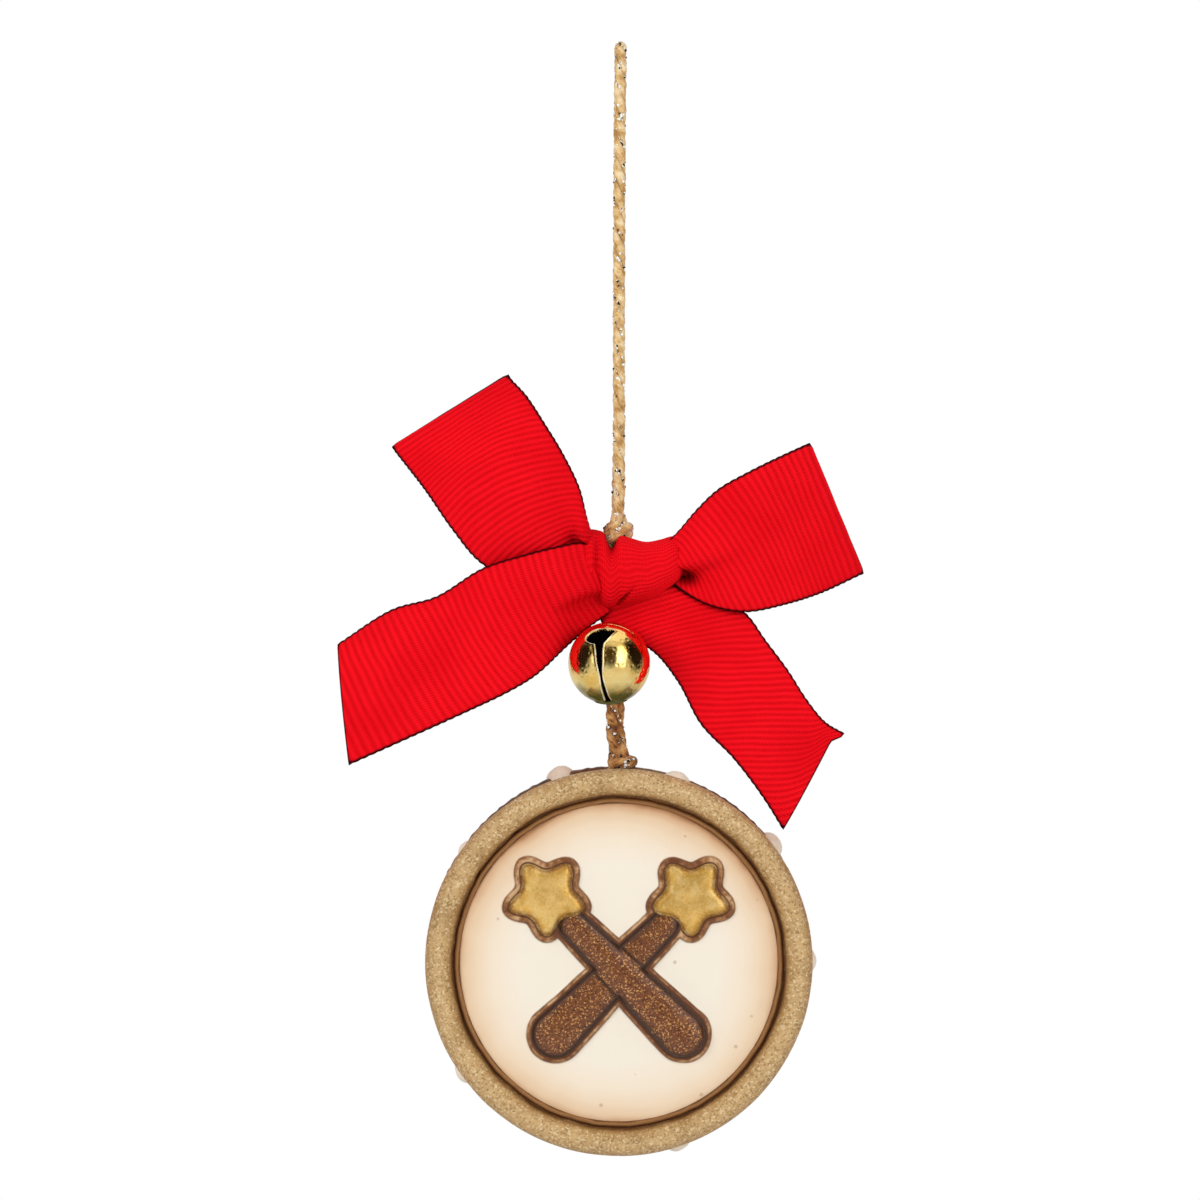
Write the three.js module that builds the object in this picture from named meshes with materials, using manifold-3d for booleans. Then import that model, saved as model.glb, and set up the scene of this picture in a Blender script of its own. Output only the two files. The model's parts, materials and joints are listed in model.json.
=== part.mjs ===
// A hanging ornament: a little glazed ceramic drum on a gold cord, with a jingle bell and a ribbon bow.
// Millimetres, +Z up, the drum's decorated head faces -Y.
// The origin is the inside top of the cord loop, where a hook or twig carries the ornament.

import * as THREE from 'three';
import { mergeVertices } from 'three/addons/utils/BufferGeometryUtils.js';
import Module from 'manifold-3d';

const wasm = await Module();
wasm.setup();

// Driving dimensions of the drum
const drumRadius = 25.0;
const drumDepth = 20.0;
const drumCentre = new THREE.Vector3(-0.25, 0, -118.2);
const rimRollRadius = 1.75;
const rearRimRadius = 24.8;
const shellRadius = 24.4;
const frontHeadRecess = 1.5;
const rearHeadRecess = 1.0;
const headRadius = 20.5;
const ridgeWidth = 0.75;
const ridgeHeight = 0.3;
const ridgeEdge = 0.2;
const drumSegments = 48;
const rimSteps = 7;

// Lacing round the drum's side: ten glazed beads on a zigzag rope
const beadCount = 10;
const beadRadius = 2.05;
const beadRingRadius = 24.1;
const frontRowDepth = -4.5;
const rearRowDepth = 5.5;
const ropeRadius = 0.7;
const ropeRingRadius = 24.35;
// How much deeper than the others each hand-pressed bead sits, clockwise from the first right of the top
const beadPressDepth = [0.4, 0.0, 0.5, 0.2, 0.25, 0.2, 0.35, 0.65, 0.8, 0.0];

// Relief on the front head: two crossed drumsticks with star ends
const starTipRadius = 5.0;
const starValleyRadius = 3.4;
const starRoundness = 0.1;
const starPoints = 30;
const starHeight = 1.5;
const starShoulder = 0.8;
const starMargin = 1.0;
const starSpread = 9.3;
const starRise = 8.5;
const stickTopSpread = 5.8;
const stickTopRise = 4.8;
const stickFootSpread = 8.2;
const stickFootDrop = 9.25;
const stickTopHalfWidth = 1.9;
const stickFootHalfWidth = 3.0;
const underStickHeight = 1.3;
const upperStickHeight = 1.8;
const padMargin = 0.75;
const padHeight = 0.5;
const padShoulder = 0.2;
const sunkDepth = 0.5;

// The cord, one length doubled over the hook and knotted above the bow and on the drum
const cordDiameter = 1.4;
const cordSides = 8;
const cordSteps = 58;
const strandSpacing = 1.5;
const upperKnot = new THREE.Vector3(-0.3, 0, -62.8);
const lowerKnot = new THREE.Vector3(0.1, 0, -92.5);
const cordEntryDepth = 1.1;
const knotTurnRadius = 1.15;
const upperKnotRise = 1.3;
const upperKnotTilts = [0.35, -0.3];
const lowerKnotTilts = [0.12];

// The jingle bell
const bellRadius = 5.3;
const bellWall = 0.4;
const bellCentre = new THREE.Vector3(-1.49, -7.35, -79.6);
const bellMouth = new THREE.Vector3(-0.199, -0.933, -0.302).normalize();
const bellSlotNormal = new THREE.Vector3(1, -0.2406, 0.0855).normalize();
const bellSlotWidth = 0.75;
const bellHoleAngle = THREE.MathUtils.degToRad(59);
const bellHoleHalfWidth = 1.87;
const bellHoleHalfHeight = 1.13;
const shankWire = 0.4;
const shankStretch = 1.12;
const shankCentre = new THREE.Vector3(-0.46, 0, -77.3);

// The bow
const ribbonThickness = 0.5;
const ribbonColumns = 3;
const foldReach = 0.9;
const tailStations = 10;
const leftFoldDirection = [-0.54, 0.84];
const rightFoldDirection = [0.92, 0.39];

// The gap kept between pieces that touch, and the shank's ring, which goes round both strands of the cord
const fit = 0.3;
const shankRadius = strandSpacing / 2 + cordDiameter / 2 + fit + shankWire;

// Colour, roughness and metalness of the four pieces
const clay = { color: '#e9d3b0', roughness: 0.4, metalness: 0.0 };
const goldCord = { color: '#c99f5c', roughness: 0.55, metalness: 0.4 };
const brass = { color: '#e6cc74', roughness: 0.12, metalness: 1.0 };
const redRibbon = { color: '#e3091b', roughness: 0.6, metalness: 0.0 };

// A closed geometry as a solid, with its shared corners merged and its empty triangles left out
function toSolid(geometry) {
  const bare = geometry.clone();
  bare.deleteAttribute('normal');
  bare.deleteAttribute('uv');
  const merged = mergeVertices(bare, 1e-4);
  const corners = merged.index.array;
  const kept = [];
  for (let i = 0; i < corners.length; i += 3) {
    const [a, b, c] = [corners[i], corners[i + 1], corners[i + 2]];
    if (a !== b && b !== c && c !== a) {
      kept.push(a, b, c);
    }
  }
  const vertProperties = new Float32Array(merged.attributes.position.array);
  const solid = new wasm.Manifold(new wasm.Mesh({
    numProp: 3, vertProperties, triVerts: new Uint32Array(kept),
  }));
  if (solid.volume() > 0) {
    return solid;
  }
  const flipped = [];
  for (let i = 0; i < kept.length; i += 3) {
    flipped.push(kept[i], kept[i + 2], kept[i + 1]);
  }
  return new wasm.Manifold(new wasm.Mesh({
    numProp: 3, vertProperties, triVerts: new Uint32Array(flipped),
  }));
}

function joinAll(solids) {
  return solids.reduce((whole, next) => whole.add(next));
}

function toMesh(solid, name, look) {
  const result = solid.getMesh();
  const geometry = new THREE.BufferGeometry();
  geometry.setAttribute('position', new THREE.BufferAttribute(new Float32Array(result.vertProperties), 3));
  geometry.setIndex(new THREE.BufferAttribute(new Uint32Array(result.triVerts), 1));
  geometry.computeVertexNormals();
  const mesh = new THREE.Mesh(geometry, new THREE.MeshStandardMaterial(look));
  mesh.name = name;
  return mesh;
}

// A geometry turned so that its local Z points along a direction, then moved to a place
function aimed(geometry, direction, place, sideways) {
  const z = direction.clone().normalize();
  const x = sideways.clone().addScaledVector(z, -sideways.dot(z)).normalize();
  const y = new THREE.Vector3().crossVectors(z, x);
  const matrix = new THREE.Matrix4().makeBasis(x, y, z).setPosition(place);
  return geometry.applyMatrix4(matrix);
}

// A rolled rim's section: an arc round the roll, from the head's groove out to the shell
function rimArc(outerRadius, crestDepth, side) {
  const rollCentre = outerRadius - rimRollRadius;
  const rollDepth = crestDepth - rimRollRadius;
  const shellAngle = Math.acos((shellRadius - rollCentre) / rimRollRadius);
  const points = [];
  for (let i = 0; i <= rimSteps; i += 1) {
    const angle = Math.PI - (i / rimSteps) * (Math.PI + shellAngle);
    const radius = rollCentre + rimRollRadius * Math.cos(angle);
    const depth = rollDepth + rimRollRadius * Math.sin(angle);
    points.push(new THREE.Vector2(radius, side * depth));
  }
  return points;
}

function drumBody() {
  const halfDepth = drumDepth / 2;
  const frontHead = -(halfDepth - frontHeadRecess);
  const rearHead = halfDepth - rearHeadRecess;
  const profile = [
    new THREE.Vector2(0, frontHead),
    new THREE.Vector2(headRadius, frontHead),
    new THREE.Vector2(headRadius + ridgeEdge, frontHead - ridgeHeight),
    new THREE.Vector2(headRadius + ridgeWidth - ridgeEdge, frontHead - ridgeHeight),
    new THREE.Vector2(headRadius + ridgeWidth, frontHead + ridgeEdge),
    ...rimArc(drumRadius, halfDepth, -1),
    ...rimArc(rearRimRadius, halfDepth, 1).reverse(),
    new THREE.Vector2(headRadius, rearHead),
    new THREE.Vector2(0, rearHead),
  ];
  return toSolid(new THREE.LatheGeometry(profile, drumSegments));
}

function beadAngle(index) {
  return (2 * Math.PI * (index + 0.5)) / beadCount;
}

function beadDepth(index) {
  return index % 2 === 0 ? frontRowDepth : rearRowDepth;
}

function onDrumSide(angle, radius, depth) {
  return new THREE.Vector3(radius * Math.sin(angle), depth, radius * Math.cos(angle));
}

function drumBeads() {
  const beads = [];
  for (let i = 0; i < beadCount; i += 1) {
    const place = onDrumSide(beadAngle(i), beadRingRadius - beadPressDepth[i], beadDepth(i));
    const bead = new THREE.SphereGeometry(beadRadius, 8, 6);
    beads.push(toSolid(bead.translate(place.x, place.y, place.z)));
  }
  return beads;
}

// The rope from each bead to the next follows the shell, so it is bent round the drum
function drumRopes() {
  const ropes = [];
  const ropeSteps = 3;
  const ropeSides = 6;
  const round = new THREE.EllipseCurve(0, 0, ropeRadius, ropeRadius);
  const section = new THREE.Shape(round.getPoints(ropeSides).slice(0, ropeSides));
  for (let i = 0; i < beadCount; i += 1) {
    const points = [];
    for (let step = 0; step <= ropeSteps; step += 1) {
      const share = step / ropeSteps;
      const angle = beadAngle(i + share);
      const depth = THREE.MathUtils.lerp(beadDepth(i), beadDepth(i + 1), share);
      points.push(onDrumSide(angle, ropeRingRadius, depth));
    }
    const path = new THREE.CatmullRomCurve3(points);
    ropes.push(toSolid(new THREE.ExtrudeGeometry(section, { steps: ropeSteps, extrudePath: path })));
  }
  return ropes;
}

// A star with five round tips, one of them straight down, and wide shallow valleys between them
function starShape(margin) {
  const middle = (starTipRadius + starValleyRadius) / 2 - starRoundness;
  const swing = (starTipRadius - starValleyRadius) / 2;
  const points = [];
  for (let i = 0; i < starPoints; i += 1) {
    const turn = (2 * Math.PI * i) / starPoints;
    const radius = middle + swing * Math.cos(5 * turn) + starRoundness * Math.cos(10 * turn) + margin;
    points.push(new THREE.Vector2(radius * Math.sin(turn), -radius * Math.cos(turn)));
  }
  return new THREE.Shape(points);
}

// The outline round a thin circle at the start and a wide one at the far end, with straight sides
function taperedShape(startRadius, endRadius, length) {
  const slant = Math.asin((endRadius - startRadius) / length);
  const shape = new THREE.Shape();
  shape.absarc(length, 0, endRadius, -Math.PI / 2 - slant, Math.PI / 2 + slant, false);
  shape.absarc(0, 0, startRadius, Math.PI / 2 + slant, (3 * Math.PI) / 2 - slant, false);
  shape.closePath();
  return shape;
}

// A flat shape raised towards the viewer from the front head
function raised(shape, height, shoulder, detail) {
  const geometry = new THREE.ExtrudeGeometry(shape, {
    depth: height + sunkDepth - shoulder,
    bevelEnabled: true,
    bevelThickness: shoulder,
    bevelSize: shoulder,
    bevelOffset: -shoulder,
    ...detail,
  });
  return geometry.translate(0, 0, -sunkDepth);
}

function ontoHead(geometry, turn, x, z) {
  const frontHead = -(drumDepth / 2 - frontHeadRecess);
  return toSolid(geometry.rotateZ(turn).rotateX(Math.PI / 2).translate(x, frontHead, z));
}

function star(side) {
  const raisedStar = raised(starShape(0), starHeight, starShoulder, { bevelSegments: 2 });
  const pad = raised(starShape(starMargin), padHeight, padShoulder, { bevelSegments: 1 });
  return [
    ontoHead(pad, 0, side * starSpread, starRise),
    ontoHead(raisedStar, 0, side * starSpread, starRise),
  ];
}

// A drumstick: a flattened tapered rod with round ends, half of it above the head
function stick(side, height) {
  const top = new THREE.Vector2(-side * stickTopSpread, stickTopRise);
  const foot = new THREE.Vector2(side * stickFootSpread, -stickFootDrop);
  const length = top.distanceTo(foot);
  const turn = Math.atan2(foot.y - top.y, foot.x - top.x);
  const slant = Math.asin((stickFootHalfWidth - stickTopHalfWidth) / length);
  const endSteps = 4;
  const profile = [];
  for (let i = 0; i <= endSteps; i += 1) {
    const angle = -Math.PI / 2 + (i / endSteps) * (Math.PI / 2 - slant);
    profile.push(new THREE.Vector2(stickTopHalfWidth * Math.cos(angle), stickTopHalfWidth * Math.sin(angle)));
  }
  for (let i = 0; i <= endSteps; i += 1) {
    const angle = -slant + (i / endSteps) * (Math.PI / 2 + slant);
    const radius = stickFootHalfWidth * Math.cos(angle);
    profile.push(new THREE.Vector2(radius, length + stickFootHalfWidth * Math.sin(angle)));
  }
  profile[0].x = 0;
  profile[profile.length - 1].x = 0;
  const rodSides = 14;
  const rod = new THREE.LatheGeometry(profile, rodSides).rotateZ(-Math.PI / 2);
  const lift = padHeight - padShoulder / 2;
  rod.scale(1, 1, (height - lift) / stickFootHalfWidth).translate(0, 0, lift);
  const outline = taperedShape(stickTopHalfWidth + padMargin, stickFootHalfWidth + padMargin, length);
  const pad = raised(outline, padHeight, padShoulder, { bevelSegments: 1, curveSegments: 8 });
  return [
    ontoHead(pad, turn, top.x, top.y),
    ontoHead(rod, turn, top.x, top.y),
  ];
}

// The slot in the top of the shell that the two ends of the cord go into
function cordHole() {
  const halfWidth = strandSpacing / 2 + cordDiameter / 2 + fit;
  const halfDepth = cordDiameter / 2 + fit;
  const depth = cordEntryDepth + 2 * fit;
  const above = 2;
  const hole = new THREE.BoxGeometry(2 * halfWidth, 2 * halfDepth, depth + above);
  return toSolid(hole.translate(0, 0, shellRadius + (above - depth) / 2));
}

function ceramicDrum() {
  const solid = joinAll([
    drumBody(),
    ...drumBeads(),
    ...drumRopes(),
    ...star(-1),
    ...star(1),
    ...stick(-1, underStickHeight),
    ...stick(1, upperStickHeight),
  ]).subtract(cordHole());
  const mesh = toMesh(solid, 'ceramic_drum', clay);
  mesh.position.copy(drumCentre);
  return mesh;
}

// The cord's route: up from the drum on the left, over the hook, and down again on the right
const drumTop = drumCentre.z + shellRadius;
const cordRoute = [
  [-1.0, 0, drumTop - cordEntryDepth],
  [-0.95, 0, -93.2],
  [-1.0, 0, -91.5],
  [-1.5, 0, -88.5],
  [-1.45, 0, -84.5],
  [-1.21, 0, -79.5],
  [-1.1, 0, -73.5],
  [-1.1, 0, -66.5],
  [-1.15, -0.35, -64.0],
  [-0.8, -0.8, -61.8],
  [-0.3, -0.85, -59.5],
  [-0.2, -1.1, -50],
  [-0.2, -1.7, -34],
  [-0.15, -2.25, -18],
  [-0.05, -2.65, -5],
  [0, -2.65, -2.3],
  [0, -1.9, -0.05],
  [0, 0, 0.7],
  [0, 1.9, -0.05],
  [0, 2.65, -2.3],
  [-0.05, 2.65, -5],
  [-0.15, 2.25, -18],
  [-0.2, 1.7, -34],
  [-0.2, 1.1, -50],
  [-0.3, 0.85, -59.5],
  [0.2, 0.8, -61.8],
  [0.55, 0.35, -64.0],
  [0.5, 0, -66.5],
  [0.45, 0, -73.5],
  [0.29, 0, -79.5],
  [0.05, 0, -84.5],
  [0.0, 0, -88.5],
  [0.5, 0, -91.5],
  [0.55, 0, -93.2],
  [0.5, 0, drumTop - cordEntryDepth],
];

// A knot as it shows from a step away: turns of the cord wrapped round both strands
function knotTurns(centre, rise, tilts) {
  return tilts.map((tilt, i) => {
    const turn = new THREE.TorusGeometry(knotTurnRadius, cordDiameter / 2, 5, 8);
    const height = (i - (tilts.length - 1) / 2) * rise;
    return toSolid(turn.rotateY(tilt).translate(centre.x, centre.y, centre.z + height));
  });
}

function hangingCord() {
  const route = new THREE.CatmullRomCurve3(cordRoute.map((point) => new THREE.Vector3(...point)));
  const round = new THREE.EllipseCurve(0, 0, cordDiameter / 2, cordDiameter / 2);
  const section = new THREE.Shape(round.getPoints(cordSides).slice(0, cordSides));
  const tube = toSolid(new THREE.ExtrudeGeometry(section, { steps: cordSteps, extrudePath: route }));
  const solid = joinAll([
    tube,
    ...knotTurns(upperKnot, upperKnotRise, upperKnotTilts),
    ...knotTurns(lowerKnot, 0, lowerKnotTilts),
  ]);
  return toMesh(solid, 'hanging_cord', goldCord);
}

// A hollow ball cut by one slot that runs over its mouth and ends in two wide holes
function jingleBell() {
  const outer = new THREE.SphereGeometry(bellRadius, 22, 12);
  const inner = new THREE.SphereGeometry(bellRadius - bellWall, 16, 10);
  const across = bellSlotNormal;
  const along = new THREE.Vector3().crossVectors(across, bellMouth).normalize();
  const reach = 2 * bellRadius;
  const slotLength = 2 * bellRadius * Math.sin(bellHoleAngle);
  const slotDepth = bellRadius;
  const slotStart = bellRadius * Math.cos(bellHoleAngle) - 1;
  const slot = new THREE.BoxGeometry(bellSlotWidth, slotLength, slotDepth).translate(0, 0, slotDepth / 2);
  const hollow = toSolid(aimed(inner, bellMouth, bellCentre, across));
  const wireRing = new THREE.TorusGeometry(shankRadius, shankWire, 6, 12).scale(1, shankStretch, 1);
  const ringFacing = new THREE.Vector3().crossVectors(bellMouth, across);
  const shank = toSolid(aimed(wireRing, ringFacing, shankCentre, across));
  let solid = toSolid(aimed(outer, bellMouth, bellCentre, across)).add(shank).subtract(hollow);
  const slotPlace = bellCentre.clone().addScaledVector(bellMouth, slotStart);
  solid = solid.subtract(toSolid(aimed(slot, bellMouth, slotPlace, across)));
  for (const end of [-1, 1]) {
    const holeAxis = bellMouth.clone().multiplyScalar(Math.cos(bellHoleAngle))
      .addScaledVector(along, end * Math.sin(bellHoleAngle));
    const hole = new THREE.CylinderGeometry(1, 1, reach, 14).rotateX(Math.PI / 2);
    hole.scale(bellHoleHalfWidth, bellHoleHalfHeight, 1).translate(0, 0, reach / 2 + bellRadius / 2);
    solid = solid.subtract(toSolid(aimed(hole, holeAxis, bellCentre, across)));
  }
  return toMesh(solid, 'jingle_bell', brass);
}

// A length of ribbon between two edge curves, given thickness on both sides
function ribbonStrip(upperPoints, lowerPoints, stations) {
  const upper = new THREE.CatmullRomCurve3(upperPoints.map((point) => new THREE.Vector3(...point)));
  const lower = new THREE.CatmullRomCurve3(lowerPoints.map((point) => new THREE.Vector3(...point)));
  const rows = stations + 1;
  const columns = ribbonColumns + 1;
  const at = (row, column) => {
    const share = THREE.MathUtils.clamp(row / stations, 0, 1);
    return upper.getPoint(share).lerp(lower.getPoint(share), column / ribbonColumns);
  };
  const positions = [];
  for (const side of [1, -1]) {
    for (let row = 0; row < rows; row += 1) {
      const along = at(row + 0.5, 1).sub(at(row - 0.5, 1)).normalize();
      const across = at(row, ribbonColumns).sub(at(row, 0)).normalize();
      const normal = new THREE.Vector3().crossVectors(along, across).normalize();
      for (let column = 0; column < columns; column += 1) {
        const point = at(row, column).addScaledVector(normal, (side * ribbonThickness) / 2);
        positions.push(point.x, point.y, point.z);
      }
    }
  }
  const layer = rows * columns;
  const corner = (side, row, column) => side * layer + row * columns + column;
  const faces = [];
  const quad = (a, b, c, d) => faces.push(a, b, c, a, c, d);
  for (let row = 0; row < stations; row += 1) {
    for (let column = 0; column < ribbonColumns; column += 1) {
      quad(corner(0, row, column), corner(0, row, column + 1),
        corner(0, row + 1, column + 1), corner(0, row + 1, column));
      quad(corner(1, row, column), corner(1, row + 1, column),
        corner(1, row + 1, column + 1), corner(1, row, column + 1));
    }
    quad(corner(0, row, 0), corner(0, row + 1, 0), corner(1, row + 1, 0), corner(1, row, 0));
    quad(corner(0, row, ribbonColumns), corner(1, row, ribbonColumns),
      corner(1, row + 1, ribbonColumns), corner(0, row + 1, ribbonColumns));
  }
  for (let column = 0; column < ribbonColumns; column += 1) {
    quad(corner(0, 0, column), corner(1, 0, column), corner(1, 0, column + 1), corner(0, 0, column + 1));
    quad(corner(0, stations, column), corner(0, stations, column + 1),
      corner(1, stations, column + 1), corner(1, stations, column));
  }
  const geometry = new THREE.BufferGeometry();
  geometry.setAttribute('position', new THREE.Float32BufferAttribute(positions, 3));
  geometry.setIndex(faces);
  return toSolid(geometry);
}

// One loop of the bow: out along the front layer, round the fold and home along the back layer.
// Each edge point is x, depth of the front layer, z, depth of the back layer; the last is the fold.
function bowLoop(upperEdge, lowerEdge, outward) {
  const trip = (edge) => {
    const fold = edge[edge.length - 1];
    const front = edge.map(([x, y, z]) => [x, y, z]);
    const foldDepth = (fold[1] + fold[3]) / 2;
    const turn = [fold[0] + outward[0] * foldReach, foldDepth, fold[2] + outward[1] * foldReach];
    const back = edge.map(([x, , z, y]) => [x, y, z]).reverse();
    return [...front, turn, ...back];
  };
  const segments = 2 * upperEdge.length;
  return ribbonStrip(trip(upperEdge), trip(lowerEdge), 2 * segments);
}

const leftLoopUpper = [
  [-3.8, -2.2, -63.2, 2.0],
  [-4.9, -3.6, -57.8, 3.4],
  [-8.9, -4.2, -50.3, 3.6],
  [-14.2, -1.0, -42.9, 1.0],
];
const leftLoopLower = [
  [-4.0, -1.2, -69.5, 1.0],
  [-13.0, -2.6, -68.8, 2.6],
  [-21.4, -3.0, -63.0, 3.2],
  [-29.2, -0.7, -52.4, 1.3],
];
const rightLoopUpper = [
  [5.8, -2.6, -64.0, 2.2],
  [10.0, -4.2, -59.8, 3.2],
  [15.6, -4.6, -55.4, 3.6],
  [23.6, -1.8, -51.5, 0.0],
];
const rightLoopLower = [
  [5.5, -2.0, -68.2, 1.0],
  [11.0, -3.2, -71.9, 2.4],
  [20.0, -3.6, -72.3, 2.8],
  [30.7, -0.9, -68.5, 0.9],
];
const leftTailUpper = [
  [-2.5, -3.0, -65.5],
  [-7.5, -5.0, -64.6],
  [-17.6, -5.0, -67.2],
  [-29.7, -3.0, -72.7],
  [-36.7, -2.0, -77.3],
];
const leftTailLower = [
  [-1.9, -1.9, -71.8],
  [-6.6, -4.0, -76.9],
  [-14.5, -7.0, -83.4],
  [-25.3, -6.6, -88.4],
  [-35.1, -6.0, -92.9],
];
const rightTailUpper = [
  [4.5, -1.6, -66.8],
  [11.0, -1.5, -70.0],
  [16.3, -2.2, -73.2],
  [21.7, -2.9, -80.5],
  [25.9, -3.0, -86.6],
  [29.0, -3.0, -88.9],
];
const rightTailLower = [
  [-2.9, -1.6, -73.0],
  [0.5, -1.6, -75.9],
  [7.4, -3.3, -82.1],
  [11.7, -4.4, -89.2],
  [17.0, -4.6, -94.8],
  [21.1, -4.0, -101.3],
];

// The knot of the bow at stations along X: x, top, bottom, front, back
const bowKnotStations = [
  [-5.6, -63.9, -70.2, -2.6, 2.6],
  [-5.0, -62.7, -71.4, -4.2, 3.8],
  [-3.5, -62.5, -72.1, -5.0, 4.6],
  [-2.2, -62.8, -72.5, -5.4, 5.0],
  [-1.0, -64.2, -72.5, -5.5, 5.0],
  [0.4, -63.1, -72.1, -5.5, 5.0],
  [3.3, -63.8, -71.4, -5.5, 4.8],
  [6.0, -63.5, -70.1, -5.2, 4.6],
  [7.4, -63.4, -69.2, -4.6, 4.0],
  [8.1, -64.2, -68.2, -3.0, 2.8],
];

function bowKnot() {
  const sides = 18;
  const squareness = 0.8;
  const positions = [];
  const soften = (value) => Math.sign(value) * Math.abs(value) ** squareness;
  for (const [x, top, bottom, front, back] of bowKnotStations) {
    for (let i = 0; i < sides; i += 1) {
      const angle = (2 * Math.PI * i) / sides;
      const y = (front + back) / 2 + ((back - front) / 2) * soften(Math.cos(angle));
      const z = (top + bottom) / 2 + ((top - bottom) / 2) * soften(Math.sin(angle));
      positions.push(x, y, z);
    }
  }
  const last = bowKnotStations.length - 1;
  const faces = [];
  for (let station = 0; station < last; station += 1) {
    for (let i = 0; i < sides; i += 1) {
      const here = station * sides + i;
      const beside = station * sides + ((i + 1) % sides);
      faces.push(here, beside, beside + sides, here, beside + sides, here + sides);
    }
  }
  for (let i = 1; i < sides - 1; i += 1) {
    const end = last * sides;
    faces.push(0, i + 1, i);
    faces.push(end, end + i, end + i + 1);
  }
  const geometry = new THREE.BufferGeometry();
  geometry.setAttribute('position', new THREE.Float32BufferAttribute(positions, 3));
  geometry.setIndex(faces);
  return toSolid(geometry);
}

// The way that the doubled cord takes through the bow, wider at the top for the cord's own knot
function bowChannel() {
  const looseFit = fit + 0.1;
  const halfWidth = strandSpacing / 2 + cordDiameter / 2 + looseFit;
  const halfDepth = cordDiameter / 2 + looseFit;
  const bottom = -80;
  const top = -55;
  const channel = new THREE.BoxGeometry(2 * halfWidth, 2 * halfDepth, top - bottom);
  const pocketBottom = -65.6;
  const pocketReach = knotTurnRadius + cordDiameter / 2 + looseFit;
  const pocket = new THREE.BoxGeometry(2 * pocketReach, 2 * pocketReach, top - pocketBottom);
  return joinAll([
    toSolid(channel.translate(upperKnot.x, 0, (top + bottom) / 2)),
    toSolid(pocket.translate(upperKnot.x, 0, (top + pocketBottom) / 2)),
  ]);
}

function ribbonBow() {
  const solid = joinAll([
    bowKnot(),
    bowLoop(leftLoopUpper, leftLoopLower, leftFoldDirection),
    bowLoop(rightLoopUpper, rightLoopLower, rightFoldDirection),
    ribbonStrip(leftTailUpper, leftTailLower, tailStations),
    ribbonStrip(rightTailUpper, rightTailLower, tailStations),
  ]).subtract(bowChannel());
  return toMesh(solid, 'ribbon_bow', redRibbon);
}

const group = new THREE.Group();
group.add(ceramicDrum());
group.add(hangingCord());
group.add(jingleBell());
group.add(ribbonBow());

export default group;
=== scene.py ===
# %% [markdown]
# # A little ceramic drum that hangs on a gold cord
# The real object is a slip-cast earthenware drum, glazed and painted by hand, on a doubled gold cord.
# A brass jingle bell hangs on the cord, and a bow of red grosgrain ribbon is tied round it.
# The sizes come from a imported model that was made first. Here each plain solid gets its true surface.

import json
import math

import bmesh
import bpy
import numpy as np
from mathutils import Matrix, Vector, noise

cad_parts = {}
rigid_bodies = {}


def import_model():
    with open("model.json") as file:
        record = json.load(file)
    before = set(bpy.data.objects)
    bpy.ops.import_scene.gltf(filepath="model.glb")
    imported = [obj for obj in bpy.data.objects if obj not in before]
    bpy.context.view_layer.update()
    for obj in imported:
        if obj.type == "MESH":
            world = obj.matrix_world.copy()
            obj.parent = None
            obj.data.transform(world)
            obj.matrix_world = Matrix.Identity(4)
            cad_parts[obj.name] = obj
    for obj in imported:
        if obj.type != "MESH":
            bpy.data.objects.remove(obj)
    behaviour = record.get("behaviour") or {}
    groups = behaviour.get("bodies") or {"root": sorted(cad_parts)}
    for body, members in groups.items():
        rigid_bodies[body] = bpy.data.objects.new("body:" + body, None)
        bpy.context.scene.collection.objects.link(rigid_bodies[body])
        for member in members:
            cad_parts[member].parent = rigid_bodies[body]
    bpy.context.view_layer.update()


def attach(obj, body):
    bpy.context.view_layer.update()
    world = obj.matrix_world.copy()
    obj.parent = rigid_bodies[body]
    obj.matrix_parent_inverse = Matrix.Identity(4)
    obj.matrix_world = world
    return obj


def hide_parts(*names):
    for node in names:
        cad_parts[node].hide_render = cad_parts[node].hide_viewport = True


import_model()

# %% [markdown]
# ## Small tools
# Everything is thought out in millimetres, because the object is small, and turned to metres at the end.
# A piece is collected patch by patch. Each patch is a grid of points with its faces, a finish number and
# a few named values on its points, such as how far a point lies from the edge of a painted form.
# The materials read those values, so that paint follows the shape it belongs to.

# %% A piece made of patches
MM = 0.001
print("one millimetre is", MM, "metres")


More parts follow.
